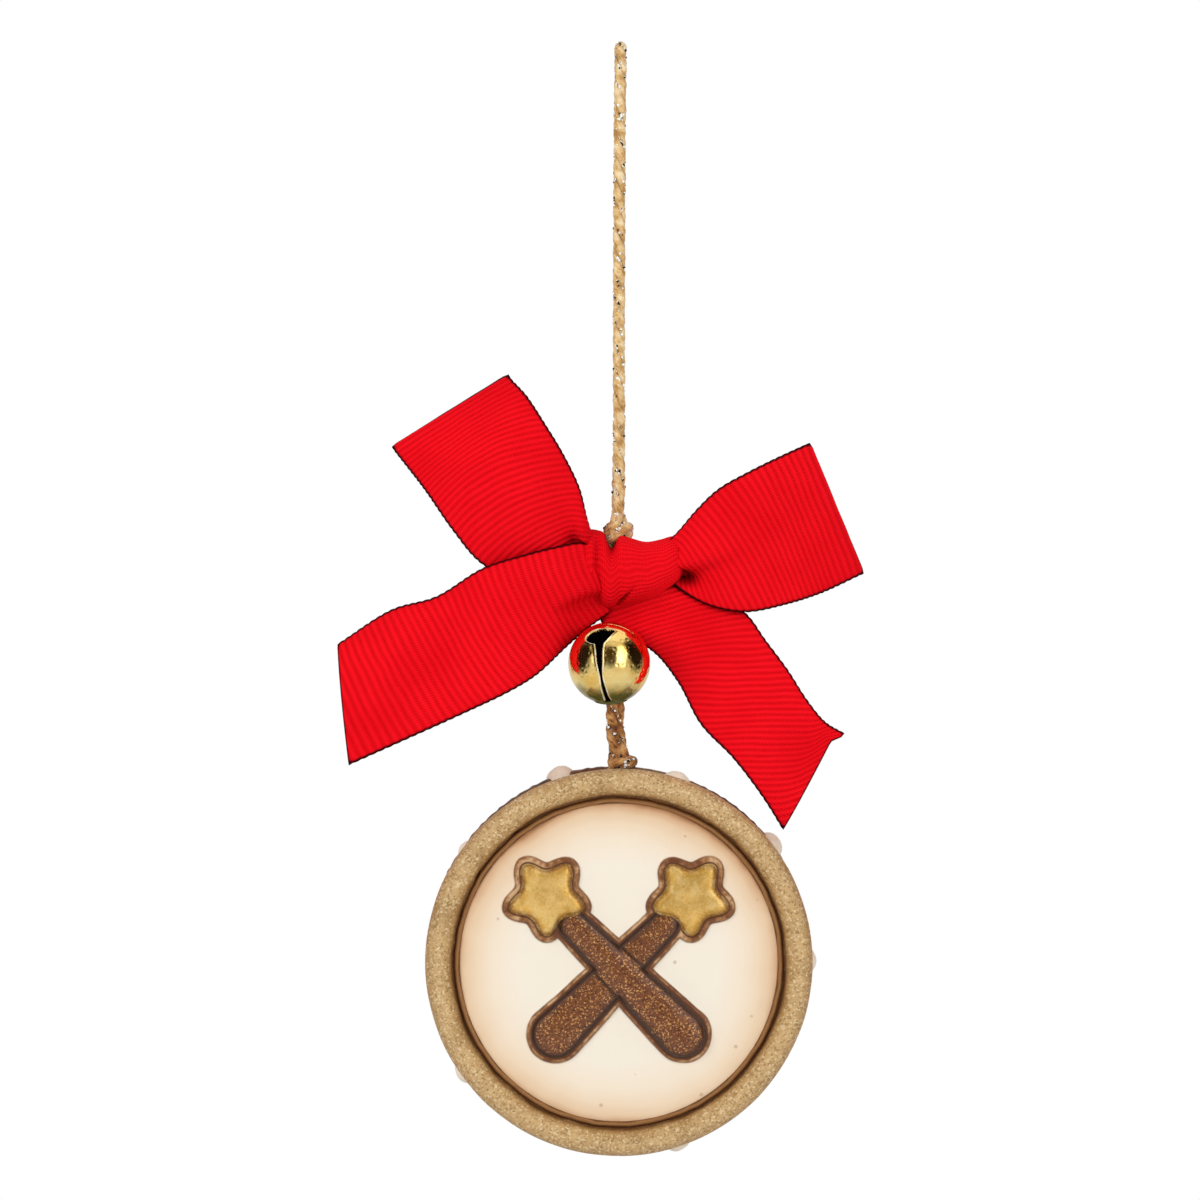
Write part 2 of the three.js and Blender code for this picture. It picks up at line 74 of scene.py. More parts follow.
class Piece:
    """Collects the patches of one object: points in millimetres, faces, finishes and point values."""

    def __init__(self, name, value_names=()):
        self.name = name
        self.points = []
        self.faces = []
        self.finishes = []
        self.smooth = []
        self.values = {key: [] for key in value_names}
        self.count = 0

    def add(self, points, faces, finish=0, smooth=True, **values):
        points = np.asarray(points, dtype=float).reshape(-1, 3)
        for group in faces:
            shifted = (np.asarray(group) + self.count).tolist()
            self.faces += shifted
            self.finishes += [finish] * len(shifted)
            self.smooth += [smooth] * len(shifted)
        for key, collected in self.values.items():
            given = np.ravel(values.get(key, 0.0)).astype(float)
            collected.append(np.broadcast_to(given, (len(points),)))
        self.points.append(points)
        self.count += len(points)

    def build(self, materials, weld=0.0):
        mesh = bpy.data.meshes.new(self.name)
        mesh.from_pydata((np.vstack(self.points) * MM).tolist(), [], self.faces)
        for key, collected in self.values.items():
            layer = mesh.attributes.new(key, "FLOAT", "POINT")
            layer.data.foreach_set("value", np.concatenate(collected).astype(np.float32))
        mesh.polygons.foreach_set("material_index", self.finishes)
        mesh.polygons.foreach_set("use_smooth", self.smooth)
        for material in materials:
            mesh.materials.append(material)
        tidy = bmesh.new()
        tidy.from_mesh(mesh)
        if weld:
            bmesh.ops.remove_doubles(tidy, verts=tidy.verts, dist=weld * MM)
        bmesh.ops.recalc_face_normals(tidy, faces=tidy.faces)
        tidy.to_mesh(mesh)
        tidy.free()
        result = bpy.data.objects.new(self.name, mesh)
        bpy.context.collection.objects.link(result)
        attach(result, "root")
        triangles = sum(len(face.vertices) - 2 for face in mesh.polygons)
        print(self.name, "has", triangles, "triangles")
        return result


# %% Faces of a grid, and two small sums
def grid_faces(rows, columns, closed=False):
    """The quads between the points of a grid. A closed grid also joins its last column to its first."""
    row = np.arange(rows - 1)[:, None] * columns
    here = np.arange(columns if closed else columns - 1)[None, :]
    beside = (here + 1) % columns
    quads = np.stack([row + here, row + beside, row + columns + beside, row + columns + here], axis=-1)
    return quads.reshape(-1, 4)


def unit(vectors):
    return vectors / np.maximum(np.linalg.norm(vectors, axis=-1, keepdims=True), 1e-9)


def smoothstep(low, high, value):
    share = np.clip((value - low) / (high - low), 0.0, 1.0)
    return share * share * (3.0 - 2.0 * share)


print("faces of a grid of 3 by 4 points:", len(grid_faces(3, 4)))

# %% [markdown]
# ## Curves
# The cord and the edges of the ribbon are drawn by a few given points. A centripetal Catmull-Rom
# curve goes through all of them without loops or overshoot, and it is then cut into equal steps.

# %% Curves through chosen points
def smooth_curve(points, steps=12):
    """A centripetal Catmull-Rom curve through the points, with some steps to each stretch."""
    places = np.asarray(points, dtype=float)
    places = np.vstack([2 * places[0] - places[1], places, 2 * places[-1] - places[-2]])
    share = (np.arange(steps) / steps)[:, None]
    stretches = []
    for a, b, c, d in zip(places[:-3], places[1:-2], places[2:-1], places[3:]):
        before, middle, after = (
            max(np.linalg.norm(q - p), 1e-6) ** 0.5 for p, q in ((a, b), (b, c), (c, d)))
        leave = ((b - a) / before - (c - a) / (before + middle) + (c - b) / middle) * middle
        arrive = ((c - b) / middle - (d - b) / (middle + after) + (d - c) / after) * middle
        stretches.append(
            (2 * share**3 - 3 * share**2 + 1) * b
            + (share**3 - 2 * share**2 + share) * leave
            + (3 * share**2 - 2 * share**3) * c
            + (share**3 - share**2) * arrive
        )
    stretches.append(places[-2][None, :])
    return np.vstack(stretches)


def arc_lengths(curve):
    return np.concatenate([[0.0], np.cumsum(np.linalg.norm(np.diff(curve, axis=0), axis=1))])


def along_curve(curve, shares):
    """Points at given shares of the curve's length."""
    lengths = arc_lengths(curve)
    wanted = np.asarray(shares) * lengths[-1]
    columns = [np.interp(wanted, lengths, curve[:, axis]) for axis in range(curve.shape[1])]
    return np.stack(columns, axis=-1)


print("points on a curve through 3 chosen ones:", len(smooth_curve([(0, 0, 0), (1, 1, 0), (2, 0, 0)])))

# %% Tubes along a curve
def travelling_axes(curve):
    """Two directions square to the curve at each point, carried along it without turning."""
    ahead = unit(np.gradient(curve, axis=0))
    side = unit(np.cross(ahead[0], [0.0, 1.0, 0.001]))
    sides = []
    for direction in ahead:
        side = unit(side - direction * np.dot(side, direction))
        sides.append(side)
    sides = np.array(sides)
    return sides, np.cross(ahead, sides)


def tube(curve, section, turn=0.0, offset=(0.0, 0.0), scale=1.0):
    """The grid of points of a section swept along a curve, turned by an angle at each step."""
    side, other = travelling_axes(curve)
    turn = np.broadcast_to(turn, (len(curve),))[:, None]
    scale = np.broadcast_to(scale, (len(curve),))[:, None]
    x = (section[None, :, 0] + offset[0]) * scale
    y = (section[None, :, 1] + offset[1]) * scale
    right = x * np.cos(turn) - y * np.sin(turn)
    up = x * np.sin(turn) + y * np.cos(turn)
    sideways = right[..., None] * side[:, None, :]
    return curve[:, None, :] + sideways + up[..., None] * other[:, None, :]


def oval(half_width, half_height, sides):
    angle = np.linspace(0, 2 * np.pi, sides, endpoint=False)
    return np.stack([half_width * np.cos(angle), half_height * np.sin(angle)], axis=-1)


def add_tube(piece, grid, finish=0, smooth=True, **values):
    """A tube with its two ends closed."""
    rows, columns = grid.shape[:2]
    ends = [np.arange(columns)[None, :], (np.arange(columns) + (rows - 1) * columns)[None, ::-1]]
    piece.add(grid, [grid_faces(rows, columns, closed=True), *ends], finish, smooth, **values)


print("points of an oval section with 8 sides:", len(oval(1.0, 0.5, 8)))

# %% [markdown]
# ## Colour and node helpers
# Colours are written as the hex values that a paint chart or a screen gives. Blender works with linear
# light, so one function turns them. One more adds a shader node, with its settings and its links.

# %% Colour and node helpers
def linear(hex_colour):
    channels = [int(hex_colour[i:i + 2], 16) / 255 for i in (1, 3, 5)]
    return tuple(c / 12.92 if c <= 0.04045 else ((c + 0.055) / 1.055) ** 2.4 for c in channels) + (1.0,)


def add_node(tree, kind, inputs=None, stops=None, **settings):
    """Adds a node. A value in inputs that is another node's output is linked, any other is set."""
    node = tree.nodes.new(kind)
    for key, value in settings.items():
        setattr(node, key, value)
    for socket, value in (inputs or {}).items():
        if isinstance(value, bpy.types.NodeSocket):
            tree.links.new(value, node.inputs[socket])
        else:
            node.inputs[socket].default_value = value
    for i, (place, colour) in enumerate(stops or ()):
        ramp = node.color_ramp.elements
        stop = ramp[i] if i < 2 else ramp.new(place)
        stop.position = place
        stop.color = linear(colour) if isinstance(colour, str) else (colour, colour, colour, 1.0)
    return node


def new_material(name):
    """A material with a Principled shader, whose plain values are set on its own sockets."""
    material = bpy.data.materials.new(name)
    material.use_nodes = True
    return material, material.node_tree, material.node_tree.nodes["Principled BSDF"]


print("mid grey #808080 in linear light:", round(linear("#808080")[0], 3))

# %% [markdown]
# ## Camera
# The photograph is a catalogue picture taken with a long lens, straight from the front. The camera stands
# 0.7 m before the drum's axis, and its lens is chosen so that the 50 mm drum fills as much of the frame.

# %% Camera
CAMERA_PLACE = Vector((-2.68, -700.0, -71.44)) * MM
SENSOR = 36.0
HALF_FRAME = 0.11194

camera_data = bpy.data.cameras.new("camera")
camera_data.sensor_width = SENSOR
camera_data.lens = SENSOR / 2 / HALF_FRAME
camera = bpy.data.objects.new("camera", camera_data)
camera.location = CAMERA_PLACE
camera.rotation_euler = (math.pi / 2, 0.0, 0.0)
bpy.context.collection.objects.link(camera)
bpy.context.scene.camera = camera
print("lens in millimetres:", round(camera_data.lens, 1))

# %% [markdown]
# ## The route of the cord
# One length of cord goes up from the drum, through the bow, over the hook and down again beside itself.
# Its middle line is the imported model's, so the cord goes where its solid is. Only below the bell do the
# soft strands lean over each other a little more than the solid's.

# %% The route of the cord
DRUM_CENTRE = np.array([-0.25, 0.0, -118.2])
SHELL_RADIUS = 24.4
DRUM_TOP = DRUM_CENTRE[2] + SHELL_RADIUS
CORD_ENTRY = 1.1
CORD_ROUTE = [
    (-1.0, 0, DRUM_TOP - CORD_ENTRY),
    (-0.95, 0, -93.2),
    (-0.8, -0.3, -91.5),
    (-1.1, -0.4, -88.5),
    (-1.1, -0.4, -84.5),
    (-1.21, 0, -79.5),
    (-1.1, 0, -73.5),
    (-1.1, 0, -66.5),
    (-1.15, -0.35, -64.0),
    (-0.8, -0.8, -61.8),
    (-0.3, -0.85, -59.5),
    (-0.2, -1.1, -50),
    (-0.2, -1.7, -34),
    (-0.15, -2.25, -18),
    (-0.05, -2.65, -5),
    (0, -2.65, -2.3),
    (0, -1.9, -0.05),
    (0, 0, 0.7),
    (0, 1.9, -0.05),
    (0, 2.65, -2.3),
    (-0.05, 2.65, -5),
    (-0.15, 2.25, -18),
    (-0.2, 1.7, -34),
    (-0.2, 1.1, -50),
    (-0.3, 0.85, -59.5),
    (0.2, 0.8, -61.8),
    (0.55, 0.35, -64.0),
    (0.5, 0, -66.5),
    (0.45, 0, -73.5),
    (0.29, 0, -79.5),
    (-0.2, 0.4, -84.5),
    (-0.25, 0.4, -88.5),
    (0.3, 0.3, -91.5),
    (0.55, 0, -93.2),
    (0.5, 0, DRUM_TOP - CORD_ENTRY),
]
cord_curve = smooth_curve(CORD_ROUTE)

# %% [markdown]
# ## Metallic yarn
# The cord is two soft plies of spun gold yarn, twisted round each other, with a thin strip of gilt film
# laid in the grooves. Each ply is a tube with an oval section that turns with the twist. Where the film is
# crumpled it stands out of the yarn as a little faceted grain, painted white in some patches and black in
# others, as painted glints and painted dark reflections.
# Loose fibres stand off the yarn as thin tapering hairs.

# %% Twist two plies
YARN_LAY = 6.2
YARN_STEP = 0.3
PLY_SIDES = 14
PLY_SECTION = oval(0.42, 0.64, PLY_SIDES)
PLY_OFFSET = 0.34
FILM_WIDTH = 0.30
FILM_STEP = 0.40
FILM_PEEP = 2.3
GLINTS_PER_MM = 3.0
KNOT_GLINTS_PER_MM = 7.0
GLINT_REACH = 0.70
FIBRES_PER_MM = 6.0
YARN, FILM = 0, 1
dice = np.random.default_rng(7)


def add_plies(piece, route, twist_start):
    length = arc_lengths(route)[-1]
    steps = max(int(length / YARN_STEP), 8)
    curve = along_curve(route, np.linspace(0, 1, steps))
    distance = np.linspace(0, length, steps)
    turn = twist_start - 2 * np.pi * distance / YARN_LAY
    around = np.cos(np.arange(PLY_SIDES) * 2 * np.pi / PLY_SIDES) * 2.0
    for ply in (0, 1):
        swell = 1.0 + 0.06 * np.sin(distance * 2.3 + ply * 1.7) + 0.05 * np.sin(distance * 5.9 + ply)
        grid = tube(curve, PLY_SECTION, turn + ply * np.pi, (PLY_OFFSET, 0.0), swell)
        add_tube(piece, grid, YARN, along=np.repeat(distance, PLY_SIDES),
                 around=np.tile(around + 9 * ply, steps))
    return curve


# %% Gilt film in the grooves
def add_film(piece, route, twist_start):
    """A flat strip in each groove between the plies, bent a little at every step."""
    length = arc_lengths(route)[-1]
    steps = max(int(length / FILM_STEP), 6)
    curve = along_curve(route, np.linspace(0, 1, steps))
    distance = np.linspace(0, length, steps)
    side, other = travelling_axes(curve)
    for ply in (0, 1):
        angle = twist_start - 2 * np.pi * distance / YARN_LAY + ply * np.pi + np.pi / 2
        angle = angle + dice.normal(0, 0.22, steps)
        outward = np.cos(angle)[:, None] * side + np.sin(angle)[:, None] * other
        sideways = -np.sin(angle)[:, None] * side + np.cos(angle)[:, None] * other
        peeping = np.abs(np.sin(np.pi * distance / FILM_PEEP + ply))
        lift = 0.28 + 0.16 * peeping + dice.normal(0, 0.04, steps)
        tilt = dice.normal(0, 0.6, steps)
        middle = curve + outward * lift[:, None]
        across = sideways * np.cos(tilt)[:, None] + outward * np.sin(tilt)[:, None]
        thin = outward * 0.02
        corners = [across * FILM_WIDTH / 2, thin, -across * FILM_WIDTH / 2, -thin]
        add_tube(piece, np.stack([middle + corner for corner in corners], axis=1), FILM, smooth=False)


print("the film bends every", FILM_STEP, "mm")

# %% Glints of crumpled film
def add_glints(piece, curve, twist_start, count):
    """Places where the film is crumpled and stands out of its groove, as little faceted grains."""
    side, other = travelling_axes(curve)
    distance = arc_lengths(curve)
    grain = oval(1.0, 0.8, 5)
    for at, stray, size, turn, half_turn in zip(
        dice.integers(1, len(curve) - 1, count), dice.normal(np.pi / 2, 0.45, count),
        dice.uniform(0.15, 0.30, count), dice.uniform(0, np.pi, count), dice.integers(0, 2, count) * np.pi,
    ):
        angle = twist_start - 2 * np.pi * distance[at] / YARN_LAY + half_turn + stray
        outward = math.cos(angle) * side[at] + math.sin(angle) * other[at]
        ahead = unit(curve[at + 1] - curve[at - 1])
        sideways = np.cross(ahead, outward)
        first = math.cos(turn) * ahead + math.sin(turn) * sideways
        second = np.cross(outward, first)
        ring = grain[:, :1] * first + grain[:, 1:] * second
        middle = curve[at] + outward * GLINT_REACH
        rows = [middle + ring * size * wide + outward * size * high
                for wide, high in ((0.35, -0.6), (1.0, 0.0), (0.45, 0.6))]
        add_tube(piece, np.stack(rows), FILM, smooth=False)


# %% Loose fibres, and a whole length of yarn
def add_fibres(piece, curve, count):
    """Loose ends of the spun yarn, as thin tapering hairs, each of one shade."""
    side, other = travelling_axes(curve)
    spokes = oval(1.0, 1.0, 3)
    thickness = np.array([0.022, 0.018, 0.006])[:, None, None]
    for at, angle, rise, lean, drift in zip(
        dice.integers(1, len(curve) - 1, count), dice.uniform(0, 2 * np.pi, count),
        dice.uniform(0.10, 0.42, count), dice.uniform(-0.6, 0.6, count), dice.uniform(-0.35, 0.35, count),
    ):
        outward = math.cos(angle) * side[at] + math.sin(angle) * other[at]
        ahead = unit(curve[at + 1] - curve[at - 1])
        sideways = np.cross(ahead, outward)
        root = curve[at] + outward * 0.5
        tip = root + outward * rise + ahead * lean + sideways * drift
        bend = (root + tip) / 2 + outward * 0.12
        spread = spokes[:, :1] * sideways + spokes[:, 1:] * ahead
        hair = np.stack([root, bend, tip])[:, None, :] + thickness * spread[None]
        add_tube(piece, hair, YARN, along=curve[at, 2])


def add_yarn(piece, route, twist_start=0.0, glints_per_mm=GLINTS_PER_MM):
    """Two plies, two strips of film, glints and loose fibres along a route."""
    length = arc_lengths(route)[-1]
    curve = add_plies(piece, route, twist_start)
    add_film(piece, route, twist_start)
    add_glints(piece, curve, twist_start, int(length * glints_per_mm))
    add_fibres(piece, curve, int(length * FIBRES_PER_MM))


# %% [markdown]
# ## Knots in the cord
# The two strands are knotted together above the bow and again where they enter the drum. A knot is more
# of the same yarn, so its turns are helices of yarn round both strands, a little tilted and uneven.

# %% Knots in the cord
UPPER_KNOT = np.array([-0.3, 0.0, -62.6])
LOWER_KNOT = np.array([0.4, 0.0, -92.7])


def knot_route(centre, radius, turns, rise, tilt, start, wobble):
    angle = np.linspace(0, turns * 2 * np.pi, int(turns * 26))
    share = np.linspace(0, 1, len(angle))
    reach = radius * (1 + wobble * np.sin(2.0 * angle + 1.0))
    x = reach * np.cos(angle + start)
    y = reach * np.sin(angle + start)
    z = rise * (share - 0.5) + tilt * x
    return centre + np.stack([x, y, z], axis=-1)


upper_knot = knot_route(UPPER_KNOT, radius=1.15, turns=2.4, rise=1.9, tilt=0.25, start=2.4, wobble=0.10)
lower_knot = knot_route(LOWER_KNOT, radius=1.12, turns=1.4, rise=0.5, tilt=0.10, start=0.6, wobble=0.08)
knot_lengths = [round(arc_lengths(route)[-1], 1) for route in (upper_knot, lower_knot)]
print("yarn in each knot, in millimetres:", knot_lengths)

# %% [markdown]
# ## Materials of the cord
# Spun yarn scatters light between its fibres, so it is matt with a little sheen, and noise drawn out along
# the plies gives its fibres. The film is a polyester strip with a metal coat, in facets, and its colour is
# painted white and near-black in patches as painted glints and painted dark reflections.
# The cord is browner from its upper knot down.

# %% Spun gold yarn
BROWN_FROM, BROWN_BELOW = -58.0, -71.0


def spun_gold_yarn():
    """Spun viscose yarn, dyed old gold: soft, fibrous and almost matt, lighter and darker in streaks along
    its fibres.
    """
    material, tree, shader = new_material("spun_gold_yarn")
    place = add_node(tree, "ShaderNodeTexCoord")
    height = add_node(tree, "ShaderNodeSeparateXYZ", {0: place.outputs["Object"]})
    low_part = add_node(tree, "ShaderNodeMapRange", {
        "Value": height.outputs["Z"], "From Min": BROWN_FROM * MM, "From Max": BROWN_BELOW * MM})
    along, around = (add_node(tree, "ShaderNodeAttribute", attribute_name=name).outputs["Fac"]
                     for name in ("along", "around"))
    slow = add_node(tree, "ShaderNodeMath", {0: along, 1: 0.35}, operation="MULTIPLY").outputs[0]
    lengthwise = add_node(tree, "ShaderNodeCombineXYZ", {"X": around, "Y": slow}).outputs[0]
    fibres = add_node(tree, "ShaderNodeTexNoise", {
        "Vector": lengthwise, "Scale": 3.2, "Detail": 3.0, "Roughness": 0.7})
    clumps = add_node(tree, "ShaderNodeTexNoise", {
        "Vector": place.outputs["Object"], "Scale": 700.0, "Detail": 2.0})
    both = add_node(tree, "ShaderNodeMath", {
        0: fibres.outputs["Fac"], 1: clumps.outputs["Fac"]}, operation="ADD").outputs[0]
    half = add_node(tree, "ShaderNodeMath", {0: both, 1: 0.5}, operation="MULTIPLY").outputs[0]
    upper = add_node(tree, "ShaderNodeValToRGB", {"Fac": half}, stops=[
        (0.38, "#AC7C3C"), (0.60, "#F6DFB4"), (0.50, "#E2BA7C")])
    lower = add_node(tree, "ShaderNodeValToRGB", {"Fac": half}, stops=[
        (0.38, "#5E300A"), (0.60, "#E2B070"), (0.50, "#B2763A")])
    colour = add_node(tree, "ShaderNodeMix", {
        0: low_part.outputs["Result"], 6: upper.outputs["Color"], 7: lower.outputs["Color"]},
        data_type="RGBA")
    bump = add_node(tree, "ShaderNodeBump", {
        "Height": fibres.outputs["Fac"], "Strength": 0.7, "Distance": 0.12 * MM})
    tree.links.new(colour.outputs[2], shader.inputs["Base Color"])
    tree.links.new(bump.outputs["Normal"], shader.inputs["Normal"])
    shader.inputs["Roughness"].default_value = 0.72
    shader.inputs["Sheen Weight"].default_value = 0.35
    shader.inputs["Sheen Roughness"].default_value = 0.4
    return material


yarn_material = spun_gold_yarn()
print(yarn_material.name, "turns brown from", BROWN_FROM, "to", BROWN_BELOW, "mm below the hook")

# %% Gilt film
def gilt_film():
    """Metallised polyester film cut to a hair's width, painted white, gold and near-black in patches as
    painted glints and dark reflections.
    """
    material, tree, shader = new_material("gilt_film")
    place = add_node(tree, "ShaderNodeTexCoord")
    cells = add_node(tree, "ShaderNodeTexNoise", {
        "Vector": place.outputs["Object"], "Scale": 1800.0, "Detail": 0.0})
    # Painted glints and painted dark reflections: the colour jumps between near-black, gold and white in
    # small patches.
    colour = add_node(tree, "ShaderNodeValToRGB", {"Fac": cells.outputs["Fac"]}, stops=[
        (0.42, "#120C04"), (0.47, "#FFFFFA"), (0.44, "#A88C48")])
    tree.links.new(colour.outputs["Color"], shader.inputs["Base Color"])
    shader.inputs["Metallic"].default_value = 0.15
    shader.inputs["Roughness"].default_value = 0.25
    return material


film_material = gilt_film()
print(film_material.name, "is", FILM_WIDTH, "mm wide")

# %% Make the cord
cord_piece = Piece("gold_cord", ("along", "around"))
add_yarn(cord_piece, cord_curve)
add_yarn(cord_piece, upper_knot, twist_start=0.8, glints_per_mm=KNOT_GLINTS_PER_MM)
add_yarn(cord_piece, lower_knot, twist_start=2.1, glints_per_mm=KNOT_GLINTS_PER_MM)
gold_cord = cord_piece.build([yarn_material, film_material])
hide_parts("hanging_cord")

# %% [markdown]
# ## The relief on the drum's head
# Two crossed drumsticks with star ends stand up from the head, each on a low pad that follows its outline.
# The head is one height field: for each point the code works out how far it lies from the edge of a star
# or a stick, and that distance gives both the height and, later, the painted lines round the form.

# %% Outline of a star
HEAD_RADIUS = 20.5
HEAD_DEPTH = -8.5
STAR_TIP = 5.0
STAR_VALLEY = 3.4
STAR_ROUNDNESS = 0.1
STAR_HEIGHT = 1.5
STAR_MARGIN = 1.0
STAR_SPREAD = 9.3
STAR_RISE = 8.5
STICK_TOP = np.array([5.8, 4.8])
STICK_FOOT = np.array([8.2, -9.25])
STICK_TOP_HALF_WIDTH = 1.9
STICK_FOOT_HALF_WIDTH = 3.0
UNDER_STICK_HEIGHT = 1.3
UPPER_STICK_HEIGHT = 1.8
PAD_MARGIN = 0.75
PAD_HEIGHT = 0.5
FAR = 9.0


def star_outline(count=120):
    """Five round tips, one of them straight down, and wide shallow valleys, as a wave in the radius."""
    turn = np.arange(count) * 2 * np.pi / count
    middle = (STAR_TIP + STAR_VALLEY) / 2 - STAR_ROUNDNESS
    swing = (STAR_TIP - STAR_VALLEY) / 2
    radius = middle + swing * np.cos(5 * turn) + STAR_ROUNDNESS * np.cos(10 * turn)
    return np.stack([radius * np.sin(turn), -radius * np.cos(turn)], axis=-1)


def star_distance(x, z, side):
    """Signed distance to the outline of one star, below zero inside it."""
    offset = np.stack([x - side * STAR_SPREAD, z - STAR_RISE], axis=-1)
    result = np.full(len(x), FAR)
    near = np.linalg.norm(offset, axis=-1) < STAR_TIP + 4.0
    outline = star_outline()
    edge = np.roll(outline, -1, axis=0) - outline
    away = offset[near][:, None, :] - outline[None, :, :]
    share = np.clip((away * edge).sum(-1) / (edge * edge).sum(-1), 0, 1)
    gap = np.linalg.norm(away - share[..., None] * edge, axis=-1).min(axis=1)
    bearing = np.arctan2(offset[near][:, 0], -offset[near][:, 1])
    outline_bearing = np.arctan2(outline[:, 0], -outline[:, 1])
    reach = np.interp(bearing, outline_bearing, np.linalg.norm(outline, axis=-1), period=2 * np.pi)
    inside = np.linalg.norm(offset[near], axis=-1) < reach
    result[near] = np.where(inside, -gap, gap)
    return result


star_reach = np.linalg.norm(star_outline(), axis=-1)
print("a star reaches out to", round(star_reach.min(), 2), "to", round(star_reach.max(), 2), "mm")

# %% Outline of a drumstick
def stick_distance(x, z, side):
    """Signed distance to the outline of one stick, and how far along it a point lies, from 0 to 1."""
    top = STICK_TOP * (-side, 1)
    foot = STICK_FOOT * (side, 1)
    length = np.linalg.norm(foot - top)
    ahead = (foot - top) / length
    offset = np.stack([x, z], axis=-1) - top
    along = offset @ ahead
    across = np.abs(offset @ np.array([-ahead[1], ahead[0]]))
    slope = (STICK_TOP_HALF_WIDTH - STICK_FOOT_HALF_WIDTH) / length
    square = math.sqrt(1 - slope * slope)
    reach = -slope * across + square * along
    rod = square * across + slope * along - STICK_TOP_HALF_WIDTH
    top_end = np.hypot(across, along) - STICK_TOP_HALF_WIDTH
    foot_end = np.hypot(across, along - length) - STICK_FOOT_HALF_WIDTH
    gap = np.where(reach < 0, top_end, np.where(reach > square * length, foot_end, rod))
    return gap, np.clip(along / length, 0, 1)


on_axis = stick_distance(np.array([0.0]), np.array([-2.2]), 1)
print("distance to a stick's edge near the crossing, and share of its length:", on_axis)

# %% Height of the relief
def rounded(gap, edge_width):
    """0 outside an edge, 1 well inside it, with a quarter-round shoulder of the given width."""
    inward = np.clip(-gap / edge_width, 0, 1)
    return np.sqrt(1 - (1 - inward) ** 2)


def rod(gap, along, top):
    """Height above its pad of a tapered round stick that is flattened to a given height."""
    half_width = STICK_TOP_HALF_WIDTH + (STICK_FOOT_HALF_WIDTH - STICK_TOP_HALF_WIDTH) * along
    return (top - PAD_HEIGHT) * half_width / STICK_FOOT_HALF_WIDTH * rounded(gap, half_width)


def relief(x, z):
    """Height above the head, and the distances that the paint follows."""
    stars = np.minimum(star_distance(x, z, -1), star_distance(x, z, 1))
    under, under_along = stick_distance(x, z, -1)
    upper, upper_along = stick_distance(x, z, 1)
    sticks = np.minimum(under, upper)
    pad = np.minimum(stars - STAR_MARGIN, sticks - PAD_MARGIN)
    height = PAD_HEIGHT * smoothstep(0.14, -0.30, pad)
    under_height = PAD_HEIGHT + rod(under, under_along, UNDER_STICK_HEIGHT)
    height = np.where(under < 0, under_height, height)
    step_up = 0.18 * rounded(upper, 0.3)
    upper_height = PAD_HEIGHT + step_up + rod(upper, upper_along, UPPER_STICK_HEIGHT)
    height = np.where(upper < 0, np.maximum(height, upper_height), height)
    dome = 0.5 * rounded(stars, 0.8) + 0.5 * rounded(stars, 2.8)
    height = np.where(stars < 0, PAD_HEIGHT + (STAR_HEIGHT - PAD_HEIGHT) * dome, height)
    groove = 0.10 * np.exp(-((np.minimum(stars, sticks) - 0.08) / 0.10) ** 2)
    return height - groove, stars, sticks, upper, pad


star_middle = relief(np.array([STAR_SPREAD]), np.array([STAR_RISE]))
print("height of a star's middle in millimetres:", star_middle[0])

# %% [markdown]
# ## The drum's body
# A drum is turned round its axis, so most of it is one profile swept round in rings. The head is a disc of
# rings too, with six more points on each ring than on the last, which keeps its triangles even in size.
# The last ring of the head is the first ring of the groove, so the casting has one unbroken skin.

# %% Disc and rings
HEAD_RINGS = 124
RING_POINTS = 6 * HEAD_RINGS


def disc_points(rings, radius):
    """Points of a disc, ring by ring, as radius and angle."""
    radii, angles = [0.0], [0.0]
    for ring in range(1, rings + 1):
        count = 6 * ring
        radii += [radius * ring / rings] * count
        angles += (np.arange(count) * 2 * np.pi / count).tolist()
    return np.array(radii), np.array(angles)


def disc_faces(rings):
    """Triangles between neighbouring rings of a disc."""
    start = [0] + [1 + 3 * ring * (ring - 1) for ring in range(1, rings + 2)]
    triangles = [np.array([[0, 1 + i, 1 + (i + 1) % 6] for i in range(6)])]
    for ring in range(1, rings):
        inner, outer = start[ring], start[ring + 1]
        inner_count, outer_count = 6 * ring, 6 * (ring + 1)
        for sector in range(6):
            i = np.arange(ring + 1)
            out_here = outer + (sector * (ring + 1) + i) % outer_count
            out_next = outer + (sector * (ring + 1) + i + 1) % outer_count
            in_here = inner + (sector * ring + i) % inner_count
            triangles.append(np.stack([out_here, out_next, in_here], axis=-1))
            in_next = inner + (sector * ring + i[:-1] + 1) % inner_count
            triangles.append(np.stack([in_here[:-1], out_next[:-1], in_next], axis=-1))
    return np.vstack(triangles)


print("triangles on the front head:", len(disc_faces(HEAD_RINGS)))

# %% Rings of half as many points, and places on the drum
def halving_faces(count):
    """Triangles from a ring to one behind it that has half as many points."""
    i = np.arange(count // 2)
    here, middle, after = 2 * i, 2 * i + 1, (2 * i + 2) % count
    below, below_next = count + i, count + (i + 1) % (count // 2)
    return np.vstack([
        np.stack([here, middle, below], axis=-1),
        np.stack([middle, below_next, below], axis=-1),
        np.stack([middle, after, below_next], axis=-1),
    ])


def on_drum(radius, angle, depth):
    """A point from its distance to the drum's axis, its clock angle from the top and its depth."""
    place = np.stack([radius * np.sin(angle), depth + 0 * angle, radius * np.cos(angle)], axis=-1)
    return DRUM_CENTRE + place


print("triangles where the rings halve:", len(halving_faces(RING_POINTS)))

# %% Profile of rims and side
RIM_ROLL = 1.75
FRONT_RIM = 25.0
REAR_RIM = 24.8
RIM_CREST = 10.0
REAR_HEAD_DEPTH = 9.0
HEAD, RIM, SIDE, BEAD, ROPE = range(5)
